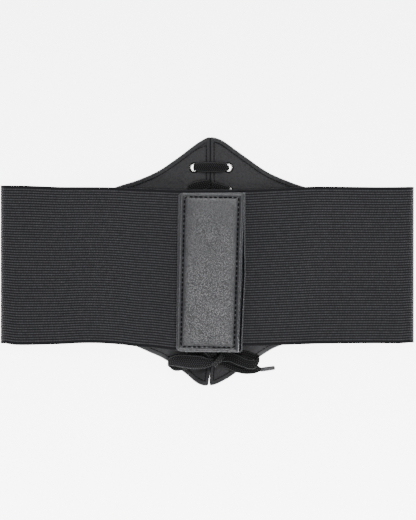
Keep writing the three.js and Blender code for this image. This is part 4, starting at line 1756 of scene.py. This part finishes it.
    def gathered(self, finish: bpy.types.Material) -> None:
        """Bundle of the lace's ends inside the wrap: a short lumpy body along X.

        Args:
            finish: the lace's material.
        """
        s = np.linspace(0.02, 0.98, 40)
        route = np.column_stack([3.6 + 9.2 * s, -79.6 + 0.8 * s, 9.2 + 0.2 * np.sin(np.pi * s)])
        angle = (np.arange(48) + 0.5)[None] * TURN / 48
        swell = (0.62 + 0.3 * np.sin(np.pi * s))[:, None]
        radius = swell * (1 + 0.07 * np.cos(5 * angle + 3 * s[:, None]) + 0.04 * np.cos(9 * angle))
        wide, high = self.core
        x, y, z = (route[:, k : k + 1] for k in range(3))
        rings = layers(x, y + wide * radius * np.cos(angle), z + high * radius * np.sin(angle))
        uv = layers(x, 3.2 * angle + UV_SHIFT)
        place(skin("knot_core", rings, uv, sharp=1.6), finish, "lace")

    def build(self, wear: Wardrobe) -> None:
        """Makes the whole bow: the right side's lace is darker, a painted shade, and the knot's wrap the palest, a
        painted highlight.

        Args:
            wear: the belt's finishes.
        """
        # the right loop and tail take the darker lace: painted shade
        for side, lace in ((Side.LEFT, wear.lace), (Side.RIGHT, wear.cord)):
            self.loop(side, lace)
            self.tail(side, lace, self.aglet(side, wear.plastic))
        # the knot's wrap takes the paler lace: painted highlight
        self.tie(wear.lit_knot_lace)
        self.gathered(wear.cord)


def main() -> None:
    """Builds the belt in order: studio, lace and bow, bands, panel, eyelets and closure."""
    logging.basicConfig(level=logging.INFO, format="%(name)s: %(message)s")
    Studio().build()
    LOG.info("studio: camera, floor and lights")
    finishes = Wardrobe()
    Bow().build(finishes)
    LOG.info("bow: knot, loops, tails and aglets")
    Lacing().build(finishes.cord)
    LOG.info("lacing: one lace through %d pairs", PLAN.pairs)
    bands = (
        ElasticBand(
            Side.LEFT,
            (
                (0, 60.9, -66.2), (0.05, 60.8, -67.3), (0.12, 60.7, -67.5), (0.26, 59.9, -67.0),
                (0.34, 59.5, -66.6), (0.45, 59.4, -65.8), (0.55, 59.3, -65.7), (0.63, 59.1, -66.2),
                (0.7, 58.8, -66.9), (0.78, 58.2, -68.2), (0.89, 57.7, -69.4), (1, 57.0, -71.2),
            ),
            mouth=-27.4, stop=23.2, end_level=LEVEL.left_band, swell_seed=4,
        ),
        ElasticBand(
            Side.RIGHT,
            (
                (0, 59.8, -65.6), (0.06, 59.6, -66.2), (0.2, 59.5, -66.1), (0.3, 59.6, -66.1), (0.45, 59.8, -66.2),
                (0.59, 59.8, -66.4), (0.67, 59.4, -66.8), (0.75, 58.9, -67.1), (0.88, 58.2, -67.6),
                (1, 57.4, -68.0),
            ),
            mouth=33.9, stop=-11.2, end_level=LEVEL.right_band, swell_seed=9,
        ),
    )
    for band in bands:
        LOG.info("band: %s", band.build(finishes.elastic).name)
    panels = (
        FrontPanel(
            Side.LEFT, top_hem=2.2,
            upper=(
                (0, 100.1), (2.4, 99.9), (5.4, 98.7), (10.2, 95.9), (15.1, 92.4), (19.9, 88.7), (24.7, 85.0),
                (29.6, 81.5), (34.4, 78.1), (39.2, 74.9), (44, 72.1), (48.9, 69.7), (53.7, 67.7), (58.5, 65.8),
                (63.4, 64.1), (73, 61.2), (80, 58.8),
            ),
            lower=(
                (0, -100.3), (2.4, -100.3), (5.4, -100), (10.2, -98.3), (15.1, -95.1), (19.9, -91.1),
                (29.6, -84.3), (39.2, -78.3), (44, -76.0), (48.9, -74.0), (53.7, -71.8), (58.5, -69.7),
                (63.4, -67.9), (68.2, -66.5), (80, -64),
            ),
        ),
        FrontPanel(
            Side.RIGHT, curl=((0.5, 15.0, 0.0),),
            notch=((-100.5, -0.5), (-99.0, -0.6), (-95.7, -0.7), (-92.0, -0.48), (-88.0, -0.2), (-85.0, -0.08)),
            upper=(
                (0, 100.1), (4.2, 99.3), (9.1, 97.3), (13.9, 94.1), (18.7, 90.5), (23.6, 87.0), (28.4, 83.5),
                (33.2, 80.1), (38, 76.6), (42.9, 73.5), (47.7, 70.7), (52.5, 68.5), (57.4, 66.4), (62.2, 64.6),
                (67, 62.7), (73.5, 60.6), (80, 58.4),
            ),
            lower=(
                (0, -100.3), (4.2, -99.3), (9.1, -97.0), (13.9, -94.3), (18.7, -90.9), (24, -87.2), (30, -83.1),
                (36, -79.3), (39.5, -76.9), (44, -74), (48, -71.6), (52.5, -69.4), (57.4, -67.7), (62.2, -66.6),
                (70, -65.6), (80, -64.4),
            ),
        ),
    )
    for panel in panels:
        LOG.info("panel: %s", panel.build(finishes.panel, finishes.thread).name)
    Eyelets().build(finishes.metal, finishes.thread)
    LOG.info("eyelets: %d", 2 * PLAN.pairs)
    closure = (
        FoldedEnd(
            "flap", "closure_flap", LEVEL.flap, Side.LEFT,
            open_edge=((-72.8, -24.9), (54.4, -23.4)),
            fold_edge=((-72.8, 25.6), (-47, 26.5), (-10, 28.1), (21, 29.0), (54.4, 30.4)),
            corner=4.0, low=-71.8, high=54.4, skew=(-0.9, 0.3), lift=2.2,
            seam=((-18.1, 51.4), (-21.0, -68.2), (21.5, -68.7), (25.2, 50.5)),
        ),
        FoldedEnd(
            "placket", "closure_placket", LEVEL.closure, Side.RIGHT,
            open_edge=((-72.8, 27.9), (-69, 28.0), (-38, 29.4), (-10, 30.7), (22, 30.5), (54.4, 30.6)),
            fold_edge=((-72.8, -17.7), (54.4, -14.5)), corner=2.0, lip=4.7,
        ),
    )
    for end in closure:
        LOG.info("closure: %s", end.build(finishes.closure, finishes.thread).name)
    GripTape().build(finishes.pile)
    LOG.info("closure: grip tape")


if __name__ == "__main__":
    main()
